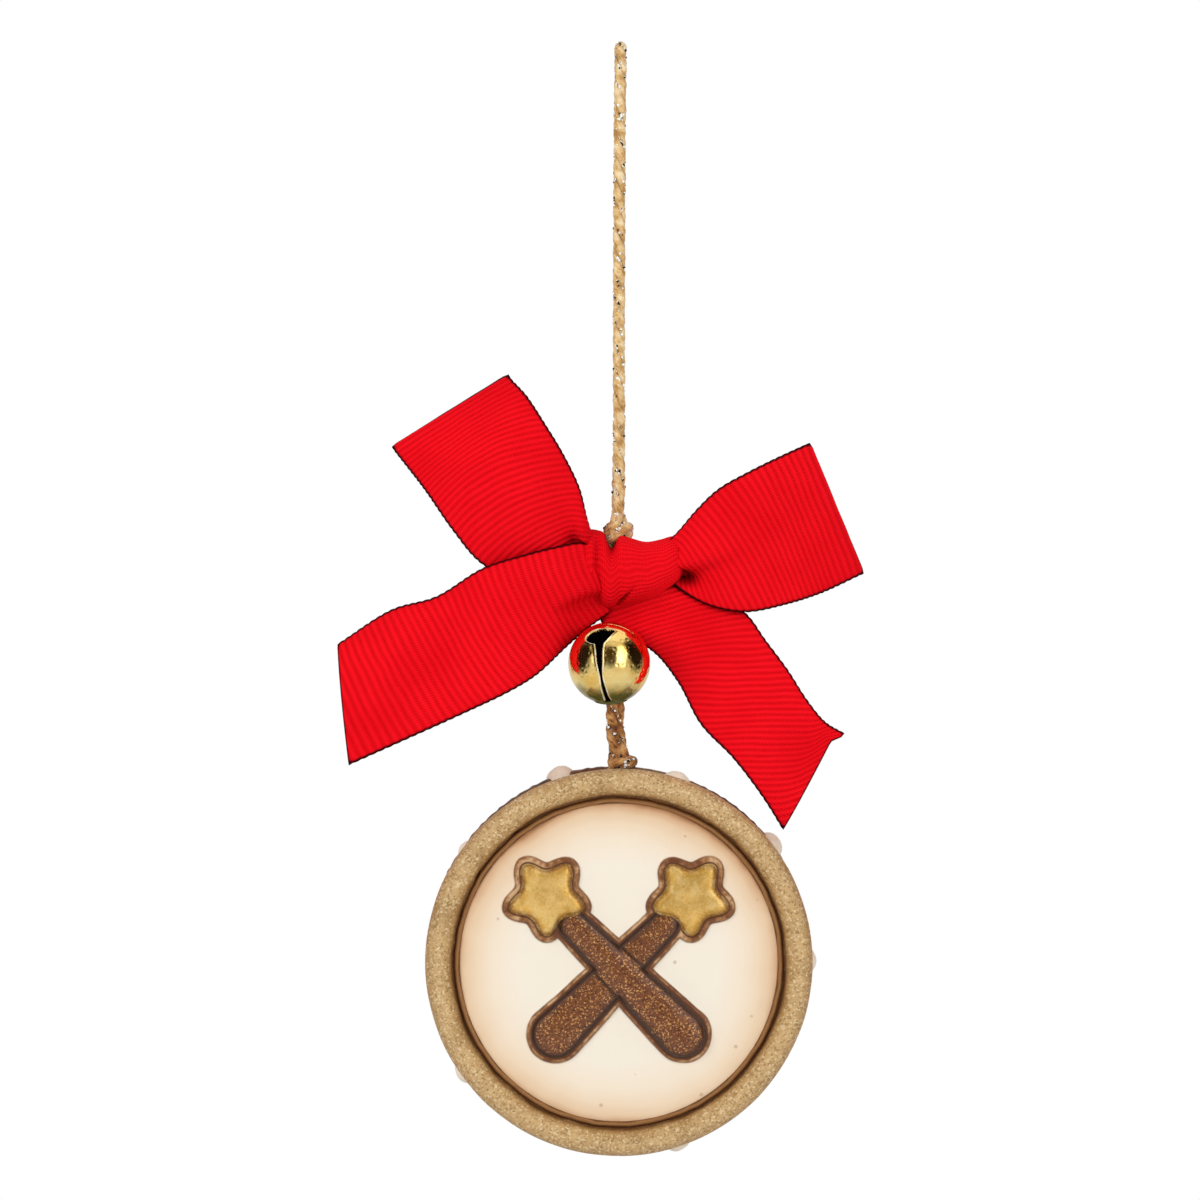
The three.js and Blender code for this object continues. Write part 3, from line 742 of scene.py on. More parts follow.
# The slot that the cord goes into, and the paint values of surfaces that are far from the relief
HOLE_HALF_WIDTH, HOLE_HALF_DEPTH, HOLE_DROP = 1.85, 1.1, 1.7
PLAIN = dict(star_gap=FAR, stick_gap=FAR, over_gap=FAR, pad_gap=FAR)


def roll(outer, crest, side, steps):
    """The rolled rim's half-round section from the groove inside it to the drum's side."""
    middle = outer - RIM_ROLL
    shell_angle = math.acos((SHELL_RADIUS - middle) / RIM_ROLL)
    angle = np.pi - np.linspace(0, 1, steps) * (np.pi + shell_angle)
    radius = middle + RIM_ROLL * np.cos(angle)
    depth = crest - RIM_ROLL + RIM_ROLL * np.sin(angle)
    return [(r, side * d) for r, d in zip(radius, depth)]


ridge = [(20.56, -8.56), (20.64, -8.72), (20.78, -8.83), (20.93, -8.86), (21.07, -8.80), (21.17, -8.62),
         (21.24, -8.38), (21.34, -8.22), (21.44, -8.26)]
front_profile = ridge + roll(FRONT_RIM, RIM_CREST, -1, 18)
side_profile = [(SHELL_RADIUS, y) for y in np.arange(-6.6, 7.0, 0.5)]
rear_profile = roll(REAR_RIM, RIM_CREST, 1, 14)[::-1] + [(21.2, 8.7), (20.9, 8.85), (20.3, 9.0)]
rear_profile += [(r, REAR_HEAD_DEPTH) for r in (19.0, 16.0, 12.0, 8.0, 4.0, 1.5)]
print("rings from the head round to the back:", len(front_profile + side_profile + rear_profile))

# %% Skin of the drum
def uneven(points, size, amount):
    """How far a hand-made surface strays at each point, from soft noise of a given size in millimetres."""
    return amount * np.array([noise.noise(Vector(point) / size) for point in points])


def add_drum_body(piece):
    """Head, ridge, groove and front rim on fine rings, then side and back on rings of half as many."""
    radius, angle = disc_points(HEAD_RINGS, HEAD_RADIUS)
    x, z = radius * np.sin(angle), radius * np.cos(angle)
    height, stars, sticks, upper, pad = relief(x, z)
    points = DRUM_CENTRE + np.stack([x, HEAD_DEPTH - height, z], axis=-1)
    edge = np.exp(-((HEAD_RADIUS - radius) / 0.25) ** 2)
    points[:, 1] += uneven(points, 2.6, 0.05) + 0.08 * edge
    piece.add(points, [disc_faces(HEAD_RINGS)], HEAD,
              star_gap=stars, stick_gap=sticks, over_gap=upper, pad_gap=pad, from_axis=radius)
    fine_angle = np.arange(RING_POINTS) * 2 * np.pi / RING_POINTS
    rows = [(HEAD_RADIUS, HEAD_DEPTH + 0.08)] + front_profile
    grid = np.array([on_drum(r, fine_angle, y) for r, y in rows])
    wander = uneven(on_drum(22.5, fine_angle, -9.0), 4.0, 0.11)
    wobble = uneven(on_drum(21.0, fine_angle, -9.0), 1.8, 0.07)
    outward = unit((grid[1] - DRUM_CENTRE) * (1, 0, 1))
    for row, (r, y) in enumerate(rows):
        if row and r < 21.5:
            grid[row] += outward * wobble[:, None]
        elif row:
            grid[row] += outward * wander[:, None] * 0.5
            grid[row, :, 1] += wander * (y < -8.6) * 0.6
    split = len(ridge) + 1
    radii = np.repeat([row[0] for row in rows], RING_POINTS)
    piece.add(grid[:split + 1], [grid_faces(split + 1, RING_POINTS, closed=True)], RIM,
              from_axis=radii[:(split + 1) * RING_POINTS], **PLAIN)
    piece.add(grid[split:], [grid_faces(len(rows) - split, RING_POINTS, closed=True)], RIM,
              from_axis=radii[split * RING_POINTS:], **PLAIN)
    half = RING_POINTS // 2
    coarse_angle = np.arange(half) * 2 * np.pi / half
    back_rows = side_profile + rear_profile
    back = np.array([on_drum(r, coarse_angle, y) for r, y in back_rows])
    for row, (r, y) in enumerate(back_rows):
        if r == SHELL_RADIUS:
            shift = np.abs(back[row, :, 0] - DRUM_CENTRE[0]) / HOLE_HALF_WIDTH
            inside = (shift < 2) & (back[row, :, 2] > DRUM_CENTRE[2])
            reach = np.maximum(shift, abs(y) / HOLE_HALF_DEPTH)
            back[row, :, 2] -= HOLE_DROP * smoothstep(1.15, 0.75, reach) * inside
    piece.add(np.vstack([grid[-1], back[0]]), [halving_faces(RING_POINTS)], SIDE, from_axis=25.0, **PLAIN)
    finish_rows = len(side_profile)
    radii = np.repeat([row[0] for row in back_rows], half)
    for low, high, finish in (
        (0, finish_rows, SIDE),
        (finish_rows - 1, finish_rows + 15, RIM),
        (finish_rows + 14, len(back_rows), HEAD),
    ):
        piece.add(back[low:high], [grid_faces(high - low, half, closed=True)], finish,
                  from_axis=radii[low * half:high * half], **PLAIN)
    centre = np.vstack([back[-1], on_drum(0.0, np.zeros(1), REAR_HEAD_DEPTH)])
    fan = np.stack([np.arange(half), (np.arange(half) + 1) % half, np.full(half, half)], axis=-1)
    piece.add(centre, [fan], HEAD, from_axis=1.0, **PLAIN)


drum_piece = Piece("painted_drum", ("star_gap", "stick_gap", "over_gap", "pad_gap", "from_axis"))
add_drum_body(drum_piece)
print("points of the drum's body:", drum_piece.count)

# %% [markdown]
# ## Beads and lacing round the side
# Real drums are laced with a rope that zigzags between the hoops. Here it is part of the casting: ten
# little clay balls pressed on by hand, not all as deep, with a painted rope from each to the next.

# %% Beads and lacing
BEAD_COUNT = 10
BEAD_RADIUS = 2.05
BEAD_RING = 24.1
FRONT_ROW, REAR_ROW = -4.5, 5.5
ROPE_RADIUS = 0.7
ROPE_RING = 24.35
BEAD_PRESS = [0.4, 0.0, 0.5, 0.2, 0.25, 0.2, 0.35, 0.65, 0.8, 0.0]


def bead_angle(index):
    return 2 * np.pi * (index + 0.5) / BEAD_COUNT


def add_lacing(piece):
    around = np.linspace(0, 2 * np.pi, 24, endpoint=False)
    up = np.linspace(-np.pi / 2, np.pi / 2, 15)[1:-1]
    ball = np.stack([
        np.cos(up)[:, None] * np.cos(around), np.cos(up)[:, None] * np.sin(around),
        np.sin(up)[:, None] + 0 * around], axis=-1)
    for i in range(BEAD_COUNT):
        row = FRONT_ROW if i % 2 == 0 else REAR_ROW
        centre = on_drum(BEAD_RING - BEAD_PRESS[i], np.array([bead_angle(i)]), row)[0]
        points = centre + ball * BEAD_RADIUS
        flat = points.reshape(-1, 3)
        lumpy = flat + unit(flat - centre) * uneven(flat, 1.4, 0.10)[:, None]
        add_tube(piece, lumpy.reshape(ball.shape), BEAD, from_axis=24.0, **PLAIN)
        next_row = REAR_ROW if i % 2 == 0 else FRONT_ROW
        share = np.linspace(0, 1, 26)
        turn = bead_angle(i) + share * 2 * np.pi / BEAD_COUNT
        route = on_drum(ROPE_RING, turn, row + (next_row - row) * share)
        twist = 1 + 0.10 * np.sin(share * 60)
        grid = tube(route, oval(ROPE_RADIUS, ROPE_RADIUS, 10), scale=twist)
        add_tube(piece, grid, ROPE, from_axis=24.0, **PLAIN)


add_lacing(drum_piece)
print("points with beads and lacing:", drum_piece.count)

# %% [markdown]
# ## Glaze and paint
# The body is cream-glazed earthenware. The paint was put on by hand: peach airbrushed round the edge of
# the head, brown wiped into every hollow, gold on the rims and stars, and glitter in the brown sticks.
# Each of these is one ramp over a distance that the mesh carries, broken up by noise as a brush does.

# %% Coats of paint
def strayed(tree, value, unevenness, amount):
    """A distance that wanders by up to half the amount each way, as the edge of a hand-laid coat does."""
    shift = add_node(tree, "ShaderNodeMath", {
        0: unevenness, 1: amount, 2: -amount / 2}, operation="MULTIPLY_ADD").outputs[0]
    return add_node(tree, "ShaderNodeMath", {0: value, 1: shift}, operation="ADD").outputs[0]


def coat(tree, under, paint, value, low, high, cover=1.0):
    """Lays a paint over another as a value goes from low to high. Cover is how thick the coat is."""
    over = linear(paint) if isinstance(paint, str) else paint
    share = add_node(tree, "ShaderNodeMapRange", {
        "Value": value, "From Min": low, "From Max": high, "To Max": cover},
        interpolation_type="SMOOTHSTEP").outputs["Result"]
    return add_node(tree, "ShaderNodeMix", {0: share, 6: under, 7: over}, data_type="RGBA").outputs[2]


def flakes_of(tree, place, per_metre, channel):
    """Glitter: a random value for each flake, from the cells of a Voronoi pattern."""
    cells = add_node(tree, "ShaderNodeTexVoronoi", {
        "Vector": place, "Scale": per_metre, "Randomness": 1.0}).outputs["Color"]
    return add_node(tree, "ShaderNodeSeparateColor", {0: cells}).outputs[channel]


GLITTER_FLAKE, GOLD_FLAKE = 1000 / 6200, 1000 / 5200
print("flakes of glitter and gold, in millimetres:", round(GLITTER_FLAKE, 2), round(GOLD_FLAKE, 2))

# %% Airbrushed glaze and wiped shading
# Painted light and shade: the peach edge moves by this much for each metre of height above the middle, so the
# top of the head is painted darker and the bottom lighter
SHADE_TILT, SHADE_MIDDLE, SHADE_SHIFT = 28.0, 0.1225, -0.3


def airbrushed_glaze(tree, place, soft, cloudy):
    """Cream glaze with peach sprayed round its edge, painted darker at the top and lighter at the bottom as
    painted light and shade.
    """
    height = add_node(tree, "ShaderNodeSeparateXYZ", {0: place}).outputs["Z"]
    painted_light_by_height = add_node(tree, "ShaderNodeMath", {
        0: height, 1: SHADE_TILT, 2: SHADE_TILT * SHADE_MIDDLE + SHADE_SHIFT},
        operation="MULTIPLY_ADD").outputs[0]
    axis = add_node(tree, "ShaderNodeAttribute", attribute_name="from_axis").outputs["Fac"]
    edge = strayed(tree, strayed(tree, axis, soft, 1.6), cloudy, 2.4)
    edge = add_node(tree, "ShaderNodeMath", {0: edge, 1: painted_light_by_height}, operation="ADD").outputs[0]
    share = add_node(tree, "ShaderNodeMath", {
        0: edge, 1: HEAD_RADIUS + 0.5}, operation="DIVIDE").outputs[0]
    return add_node(tree, "ShaderNodeValToRGB", {"Fac": share}, stops=[
        (0.60, "#F3E9D8"), (1.00, "#A8764C"), (0.76, "#F2E2CC"), (0.86, "#EDD6B9"), (0.93, "#E5C7A4"),
        (0.975, "#D2A880")]).outputs["Color"]


def wiped_brown(tree, nearest, outer, streaks, soft):
    """Thin brown wiped off the pads, so that it stays in streaks and in the corner beside each form."""
    wash = add_node(tree, "ShaderNodeValToRGB", {"Fac": streaks}, stops=[
        (0.36, "#6A3A1A"), (0.64, "#CCA278"), (0.46, "#84522C"), (0.55, "#A4764A")]).outputs["Color"]
    wash = coat(tree, wash, "#5A2F12", strayed(tree, nearest, soft, 0.30), 0.42, 0.16)
    return coat(tree, wash, "#6E4426", outer, -0.30, -0.10, 0.55)


print("colour of the airbrushed edge goes from cream to brown over the last millimetres of", HEAD_RADIUS)

# %% Drumstick paint and star gold
GOLD_EDGE, GOLD_MIDDLE = 0.15, -1.5


def glittering_brown(tree, sticks, upper, flake):
    """Brown, deeper along the edges as painted shade, with copper and dark flakes, a painted shadow of the
    upper stick on the lower one, and a dark line at the crossing.
    """
    inward, glitter, crossing_shadow = (
        add_node(tree, "ShaderNodeMapRange", {
            "Value": value, "From Min": low, "From Max": high, "To Max": most},
            interpolation_type="SMOOTHSTEP").outputs["Result"]
        for value, low, high, most in (
            (sticks, -0.05, -1.5, 1.0), (flake, 0.60, 0.90, 1.0), (upper, 0.0, 0.05, 0.85)))
    # Painted shade: the brown darkens towards the stick's edges, where the round stick turns away.
    paint = add_node(tree, "ShaderNodeValToRGB", {"Fac": inward}, stops=[
        (0.0, "#341A0A"), (1.0, "#703E1E"), (0.22, "#522C14"), (0.55, "#643618")]).outputs["Color"]
    copper = add_node(tree, "ShaderNodeValToRGB", {"Fac": flake}, stops=[
        (0.56, "#784624"), (1.0, "#DCA468"), (0.84, "#A26A38")]).outputs["Color"]
    paint = coat(tree, paint, copper, sticks, -0.3, -0.8, glitter)
    paint = coat(tree, paint, "#35190E", flake, 0.26, 0.06, 0.7)
    # Painted shadow: a dark band on the lower stick beside the upper one, fading out 0.55 mm from its edge.
    paint = coat(tree, paint, "#2E180C", upper, 0.55, 0.12, crossing_shadow)
    from_crossing = add_node(tree, "ShaderNodeMath", {0: upper}, operation="ABSOLUTE").outputs[0]
    return coat(tree, paint, "#341B0E", from_crossing, 0.16, 0.02, 0.8)


def antique_gold(tree, stars, soft, streaks, flake):
    """Gold that is darker towards the star's edge as painted shade, cloudy from the brush, with light and
    dark flakes in it.
    """
    # Painted shade: the gold darkens towards the edge of the star, where its dome turns down.
    star_gold_shade = add_node(tree, "ShaderNodeMapRange", {
        "Value": strayed(tree, stars, soft, 0.6), "From Min": GOLD_EDGE, "From Max": GOLD_MIDDLE},
        interpolation_type="SMOOTHSTEP").outputs["Result"]
    gold = add_node(tree, "ShaderNodeValToRGB", {"Fac": star_gold_shade}, stops=[
        (0.0, "#8A5A24"), (1.0, "#F2C470"), (0.12, "#B07E3A"), (0.35, "#D4A048"), (0.66, "#E8B658")
        ]).outputs["Color"]
    for paint, value, low, high, cover in (
        ("#B88A34", soft, 0.52, 0.36, 0.5),
        ("#B4842E", streaks, 0.49, 0.38, 0.22),
        ("#FADE98", streaks, 0.50, 0.62, 0.35),
        ("#FFE8A8", flake, 0.66, 0.95, 0.24),
        ("#A07828", flake, 0.22, 0.02, 0.18),
        ("#54300E", stars, 0.02, 0.14, 0.8),
    ):
        gold = coat(tree, gold, paint, value, low, high, cover)
    return gold


print("the gold darkens over", GOLD_EDGE - GOLD_MIDDLE, "mm from the star's edge")

# %% Painted head
def painted_earthenware_head():
    """Cream glaze with airbrushed edge, wiped shading, gold stars and glittering brown drumsticks."""
    material, tree, shader = new_material("painted_earthenware_head")
    place = add_node(tree, "ShaderNodeTexCoord").outputs["Object"]
    soft, cloudy, grain, streaks = (
        add_node(tree, "ShaderNodeTexNoise", {
            "Vector": place, "Scale": scale, "Detail": detail, "Roughness": roughness}).outputs["Fac"]
        for scale, detail, roughness in (
            (170.0, 3.0, 0.5), (60.0, 2.0, 0.5), (1900.0, 3.0, 0.65), (620.0, 3.0, 0.6)))
    stars, sticks, upper, pad = (
        add_node(tree, "ShaderNodeAttribute", attribute_name=name).outputs["Fac"]
        for name in ("star_gap", "stick_gap", "over_gap", "pad_gap"))
    glitter = flakes_of(tree, place, 1000 / GLITTER_FLAKE, 0)
    gold_flake = flakes_of(tree, place, 1000 / GOLD_FLAKE, 1)
    nearest = add_node(tree, "ShaderNodeMath", {0: stars, 1: sticks}, operation="MINIMUM").outputs[0]
    outer = strayed(tree, pad, soft, 0.55)
    pits = add_node(tree, "ShaderNodeTexVoronoi", {
        "Vector": place, "Scale": 230.0, "Randomness": 1.0}).outputs["Distance"]
    paint = airbrushed_glaze(tree, place, soft, cloudy)
    paint = coat(tree, paint, wiped_brown(tree, nearest, outer, streaks, soft), outer, 0.12, -0.10)
    paint = coat(tree, paint, glittering_brown(tree, sticks, upper, glitter), sticks, 0.03, -0.03)
    paint = coat(tree, paint, antique_gold(tree, stars, soft, streaks, gold_flake), stars, 0.16, 0.10)
    paint = coat(tree, paint, "#A0785A", pits, 0.075, 0.03, 0.45)
    flaky = add_node(tree, "ShaderNodeMapRange", {
        "Value": glitter, "From Min": 0.60, "From Max": 0.90, "To Max": 0.7},
        interpolation_type="SMOOTHSTEP").outputs["Result"]
    on_stick, star_metal, star_flakes, pitted, roughness = (
        add_node(tree, "ShaderNodeMapRange", {
            "Value": value, "From Min": low, "From Max": high, "To Min": least, "To Max": most},
            interpolation_type="SMOOTHSTEP").outputs["Result"]
        for value, low, high, least, most in (
            (sticks, 0.03, -0.03, 0.0, flaky), (stars, 0.16, 0.10, 0.0, 0.55),
            (stars, 0.16, 0.10, 0.0, 0.3), (pits, 0.075, 0.03, 0.0, 1.0), (grain, 0.3, 0.7, 0.32, 0.46)))
    stick_metal = add_node(tree, "ShaderNodeMath", {
        0: on_stick, 1: 0.5}, operation="MULTIPLY").outputs[0]
    metal = add_node(tree, "ShaderNodeMath", {
        0: star_metal, 1: stick_metal}, operation="MAXIMUM").outputs[0]
    relief_height = add_node(tree, "ShaderNodeMath", {0: grain, 1: 0.6}, operation="MULTIPLY").outputs[0]
    for value, share in ((glitter, on_stick), (gold_flake, star_flakes), (pitted, -1.5)):
        relief_height = add_node(tree, "ShaderNodeMath", {
            0: value, 1: share, 2: relief_height}, operation="MULTIPLY_ADD").outputs[0]
    bump = add_node(tree, "ShaderNodeBump", {
        "Height": relief_height, "Strength": 0.45, "Distance": 0.1 * MM})
    tree.links.new(paint, shader.inputs["Base Color"])
    tree.links.new(metal, shader.inputs["Metallic"])
    tree.links.new(roughness, shader.inputs["Roughness"])
    tree.links.new(bump.outputs["Normal"], shader.inputs["Normal"])
    shader.inputs["Coat Weight"].default_value = 0.10
    shader.inputs["Coat Roughness"].default_value = 0.25
    return material


head_paint = painted_earthenware_head()
print(head_paint.name, "has", len(head_paint.node_tree.nodes), "nodes")

# %% Paint that changes with distance from the axis
PAINT_INNER, PAINT_OUTER = 20.0, 25.2


def earthenware_paint(name, ramp, grain_size, stray, metallic, roughness, speck, light, specks=0.5):
    """A paint that changes with distance from the axis, mottled by noise, with dark and light specks.

    The speckle of real rim paint is about 0.1 mm, under a pixel here, so it is drawn at about 0.25 mm.
    """
    material, tree, shader = new_material(name)
    place = add_node(tree, "ShaderNodeTexCoord").outputs["Object"]
    axis = add_node(tree, "ShaderNodeAttribute", attribute_name="from_axis").outputs["Fac"]
    mottle = add_node(tree, "ShaderNodeTexNoise", {
        "Vector": place, "Scale": 1000.0 / grain_size, "Detail": 4.0, "Roughness": 0.75}).outputs["Fac"]
    patches = add_node(tree, "ShaderNodeTexNoise", {
        "Vector": place, "Scale": 220.0, "Detail": 2.0}).outputs["Fac"]
    share = add_node(tree, "ShaderNodeMapRange", {
        "Value": strayed(tree, strayed(tree, axis, mottle, stray), patches, 0.9),
        "From Min": PAINT_INNER, "From Max": PAINT_OUTER}).outputs["Result"]
    colour = add_node(tree, "ShaderNodeValToRGB", {"Fac": share}, stops=ramp).outputs["Color"]
    thin_coat = add_node(tree, "ShaderNodeMapRange", {
        "Value": patches, "From Min": 0.50, "From Max": 0.32, "To Max": 0.30}).outputs["Result"]
    colour = add_node(tree, "ShaderNodeMix", {
        0: thin_coat, 6: colour, 7: linear(speck)}, data_type="RGBA").outputs[2]
    cells = add_node(tree, "ShaderNodeTexVoronoi", {
        "Vector": place, "Scale": 1150.0 / grain_size, "Randomness": 1.0}).outputs["Color"]
    cell = add_node(tree, "ShaderNodeSeparateColor", {0: cells}).outputs[0]
    open_part = add_node(tree, "ShaderNodeMapRange", {
        "Value": share, "From Min": 0.26, "From Max": 0.40, "To Max": specks}).outputs["Result"]
    for low, high, tint in ((0.30, 0.04, speck), (0.72, 0.97, light)):
        dots = add_node(tree, "ShaderNodeMapRange", {
            "Value": cell, "From Min": low, "From Max": high, "To Max": open_part}).outputs["Result"]
        colour = add_node(tree, "ShaderNodeMix", {
            0: dots, 6: colour, 7: linear(tint)}, data_type="RGBA").outputs[2]
    height = add_node(tree, "ShaderNodeMath", {0: mottle, 1: cell}, operation="ADD").outputs[0]
    bump = add_node(tree, "ShaderNodeBump", {"Height": height, "Strength": 0.4, "Distance": 0.00008})
    tree.links.new(colour, shader.inputs["Base Color"])
    tree.links.new(bump.outputs["Normal"], shader.inputs["Normal"])
    shader.inputs["Metallic"].default_value = metallic
    shader.inputs["Roughness"].default_value = roughness
    shader.inputs["Coat Weight"].default_value = 0.1
    shader.inputs["Coat Roughness"].default_value = 0.3
    return material


print("the rim paint's colours run from", PAINT_INNER, "to", PAINT_OUTER, "mm from the axis")

# %% Paints of the rims, side, beads and lacing
RIM_PAINT = [(0.0, "#D2AA80"), (1.0, "#B08A5C"), (0.09, "#603416"), (0.14, "#A0703F"), (0.20, "#865A30"),
             (0.25, "#4A2209"), (0.28, "#7A4C20"), (0.32, "#AC7E48"), (0.40, "#C49C64"), (0.60, "#D2AE7A"),
             (0.88, "#C8A26E")]
SIDE_PAINT = [(0.0, "#5C3020"), (1.0, "#6B3A28"), (0.85, "#54291A")]
BEAD_PAINT = [(0.0, "#EAD8BE"), (1.0, "#EFDCC4"), (0.7, "#F0E0CA")]
ROPE_PAINT = [(0.0, "#6B4426"), (1.0, "#7A5230"), (0.7, "#5E3A20")]
side_paints = [
    earthenware_paint("antique_gold_rim_paint", RIM_PAINT, grain_size=0.26, stray=0.4, metallic=0.25,
                      roughness=0.55, speck="#86602F", light="#F2DEB2", specks=0.6),
    earthenware_paint("brown_side_glaze", SIDE_PAINT, grain_size=0.8, stray=1.0, metallic=0.0,
                      roughness=0.38, speck="#3A1A10", light="#7A4630"),
    earthenware_paint("cream_bead_glaze", BEAD_PAINT, grain_size=0.9, stray=1.0, metallic=0.0,
                      roughness=0.35, speck="#DCC0A4", light="#F6E8D6", specks=0.25),
    earthenware_paint("brown_lacing_paint", ROPE_PAINT, grain_size=0.5, stray=1.0, metallic=0.0,
                      roughness=0.5, speck="#3A2010", light="#8E6640"),
]
print("paints:", *(material.name for material in side_paints))

# %% Make the drum
drum = drum_piece.build([head_paint, *side_paints], weld=0.004)
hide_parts("ceramic_drum")

# %% [markdown]
# ## The jingle bell
# Two thin brass cups are pressed together into a hollow ball. One slot runs over its mouth and opens into
# a wide hole at each end. The shell is built on lines that run along and across the slot, so that the
# slot's edge is itself a line of the mesh, and the metal turns in over it with its true thickness.

# %% Shape of the bell
BELL_RADIUS = 5.3
BELL_WALL = 0.4
BELL_CENTRE = np.array([-1.49, -7.35, -79.6])
MOUTH = unit(np.array([-0.199, -0.933, -0.302]))
ACROSS = unit(np.array([1.0, -0.2406, 0.0855]))
ALONG = unit(np.cross(ACROSS, MOUTH))
# The slot was pressed a little uneven: half its width in millimetres at some angles from the mouth
SLOT_ANGLES = np.radians([-45.0, -35.0, -20.0, -5.0, 2.0, 10.0, 20.0, 36.0, 45.0])
SLOT_HALVES = np.array([0.60, 0.48, 0.42, 0.25, 0.21, 0.24, 0.31, 0.33, 0.40]) / BELL_RADIUS
LIP_RISE = 0.09
BRASS, INSIDE_SHADE, SLOT_HIGHLIGHT = 0, 1, 2
HOLE_NEAR, HOLE_FAR = np.radians([46.5, 75.0])
SEAM = np.pi / 2
# The die cut the hole a little askew: its right side is a straight funnel, its left side is rounder.
# Each side has the angle where it is widest, its half width, and how square its corner is.
HOLE_SIDES = {
    1: (math.radians(71.0), 1.97 / BELL_RADIUS, 3.0),
    -1: (math.radians(61.0), 2.06 / BELL_RADIUS, 2.0),
}


def slot_half_width(angle, side):
    """Half the opening's width on one side, as an angle, at an angle from the mouth along the slot."""
    widest, half, squareness = HOLE_SIDES[side]
    narrow = np.interp(angle, SLOT_ANGLES, SLOT_HALVES)
    reach = np.abs(angle)
    share = np.clip((reach - HOLE_NEAR) / (widest - HOLE_NEAR), 0, 1)
    funnel = share ** 0.85 if side > 0 else np.sin(share * np.pi / 2) ** 0.7
    past = np.clip((reach - widest) / (HOLE_FAR - widest), 0, 1)
    lid = (1 - past ** squareness) ** (1 / squareness)
    return np.where(reach < widest, narrow + (half - narrow) * funnel, half * lid)


def bell_columns():
    """Angles round the slot's circle, closer together at the holes and at the seam."""
    hole = HOLE_NEAR + (HOLE_FAR - HOLE_NEAR) * np.sin(np.linspace(0, np.pi / 2, 44)) ** 0.9
    quarter = np.concatenate([
        np.linspace(0, HOLE_NEAR, 22, endpoint=False), hole, np.linspace(HOLE_FAR, SEAM - 0.02, 10)[1:],
        [SEAM - 0.01, SEAM, SEAM + 0.01], np.linspace(SEAM + 0.02, np.pi, 40)])
    return np.concatenate([quarter, -quarter[1:-1][::-1]])


widest_opening = sum(half for _, half, _ in HOLE_SIDES.values()) * BELL_RADIUS
print("the slot's holes are", round(widest_opening, 1), "mm wide")

# %% Shell of the bell
def add_bell(piece):
    columns = bell_columns()
    seam_gap = np.abs(np.abs(columns) - SEAM)
    crease = 0.045 * np.exp(-(seam_gap / 0.011) ** 2)
    share = np.linspace(1, 0, 44) ** 1.35
    outer_rows = [(BELL_RADIUS, s) for s in share]
    lip_rows = [(BELL_RADIUS - 0.05, -0.011), (BELL_RADIUS - 0.16, -0.022), (BELL_RADIUS - 0.3, -0.016)]
    inner_rows = [(BELL_RADIUS - BELL_WALL, s) for s in share[::-2]]
    for side in (1, -1):
        half_width = slot_half_width(columns, side)
        open_column = half_width > 1e-6
        grid = []
        for radius, s in outer_rows + lip_rows + inner_rows:
            if s < 0:
                tilt = np.where(open_column, np.maximum(half_width + s, 0.004), 0.0)
            else:
                tilt = half_width + (np.pi / 2 - half_width) * s
            reach = np.full(len(columns), radius)
            if radius == BELL_RADIUS:
                from_slot = (tilt - half_width) * BELL_RADIUS
                lip = LIP_RISE * open_column * np.exp(-(from_slot / 0.17) ** 2)
                reach = reach - crease * (s > 0) + lip
            direction = (np.cos(columns) * np.cos(tilt))[:, None] * MOUTH
            direction = direction + (np.sin(columns) * np.cos(tilt))[:, None] * ALONG
            direction = direction + (side * np.sin(tilt))[:, None] * ACROSS
            grid.append(BELL_CENTRE + direction * reach[:, None])
        rows, count = len(grid), len(columns)
        quads = grid_faces(rows, count, closed=True).reshape(rows - 1, count, 4)
        keep = np.ones((rows - 1, count), dtype=bool)
        first_inner = len(outer_rows) + len(lip_rows)
        closed_face = np.where(~(open_column | np.roll(open_column, -1)))[0]
        keep[len(outer_rows) - 1:first_inner, closed_face] = False
        row = np.arange(rows - 1)[:, None]
        inside = row >= first_inner
        # The last outer rows beside the slot take a pale finish, a painted highlight along the lip.
        last_rows = (row >= len(outer_rows) - 3) & (row < len(outer_rows))
        at_edge = last_rows & open_column & (columns < HOLE_NEAR)
        piece.add(np.array(grid), [quads[keep & ~inside & ~at_edge]], BRASS)
        # Faces inside the shell take the near-black finish, as painted shade.
        piece.add(np.array(grid), [quads[keep & inside]], INSIDE_SHADE)
        piece.add(np.array(grid), [quads[keep & at_edge]], SLOT_HIGHLIGHT)


bell_piece = Piece("pressed_brass_bell")
add_bell(bell_piece)
print("points of the bell's shell:", bell_piece.count)

# %% The bell's ring
SHANK_WIRE = 0.4
SHANK_RADIUS = 2.15
SHANK_STRETCH = 1.12
SHANK_CENTRE = np.array([-0.46, 0.0, -77.3])


def add_shank(piece):
    """The wire ring behind the bell, which both strands of the cord pass through."""
    angle = np.linspace(0, 2 * np.pi, 72, endpoint=False)
    section = np.linspace(0, 2 * np.pi, 16, endpoint=False)
    facing = unit(np.cross(MOUTH, ACROSS))
    up = np.cross(facing, ACROSS)
    out = np.cos(angle)[:, None] * ACROSS + np.sin(angle)[:, None] * up * SHANK_STRETCH
    reach = SHANK_RADIUS + SHANK_WIRE * np.cos(section)
    grid = SHANK_CENTRE + out[:, None, :] * reach[None, :, None]
    grid = grid + SHANK_WIRE * np.sin(section)[None, :, None] * facing
    rows = np.vstack([grid, grid[:1]])
    piece.add(rows, [grid_faces(len(rows), len(section), closed=True)])


add_shank(bell_piece)
print("the ring is", 2 * (SHANK_RADIUS + SHANK_WIRE), "mm across")
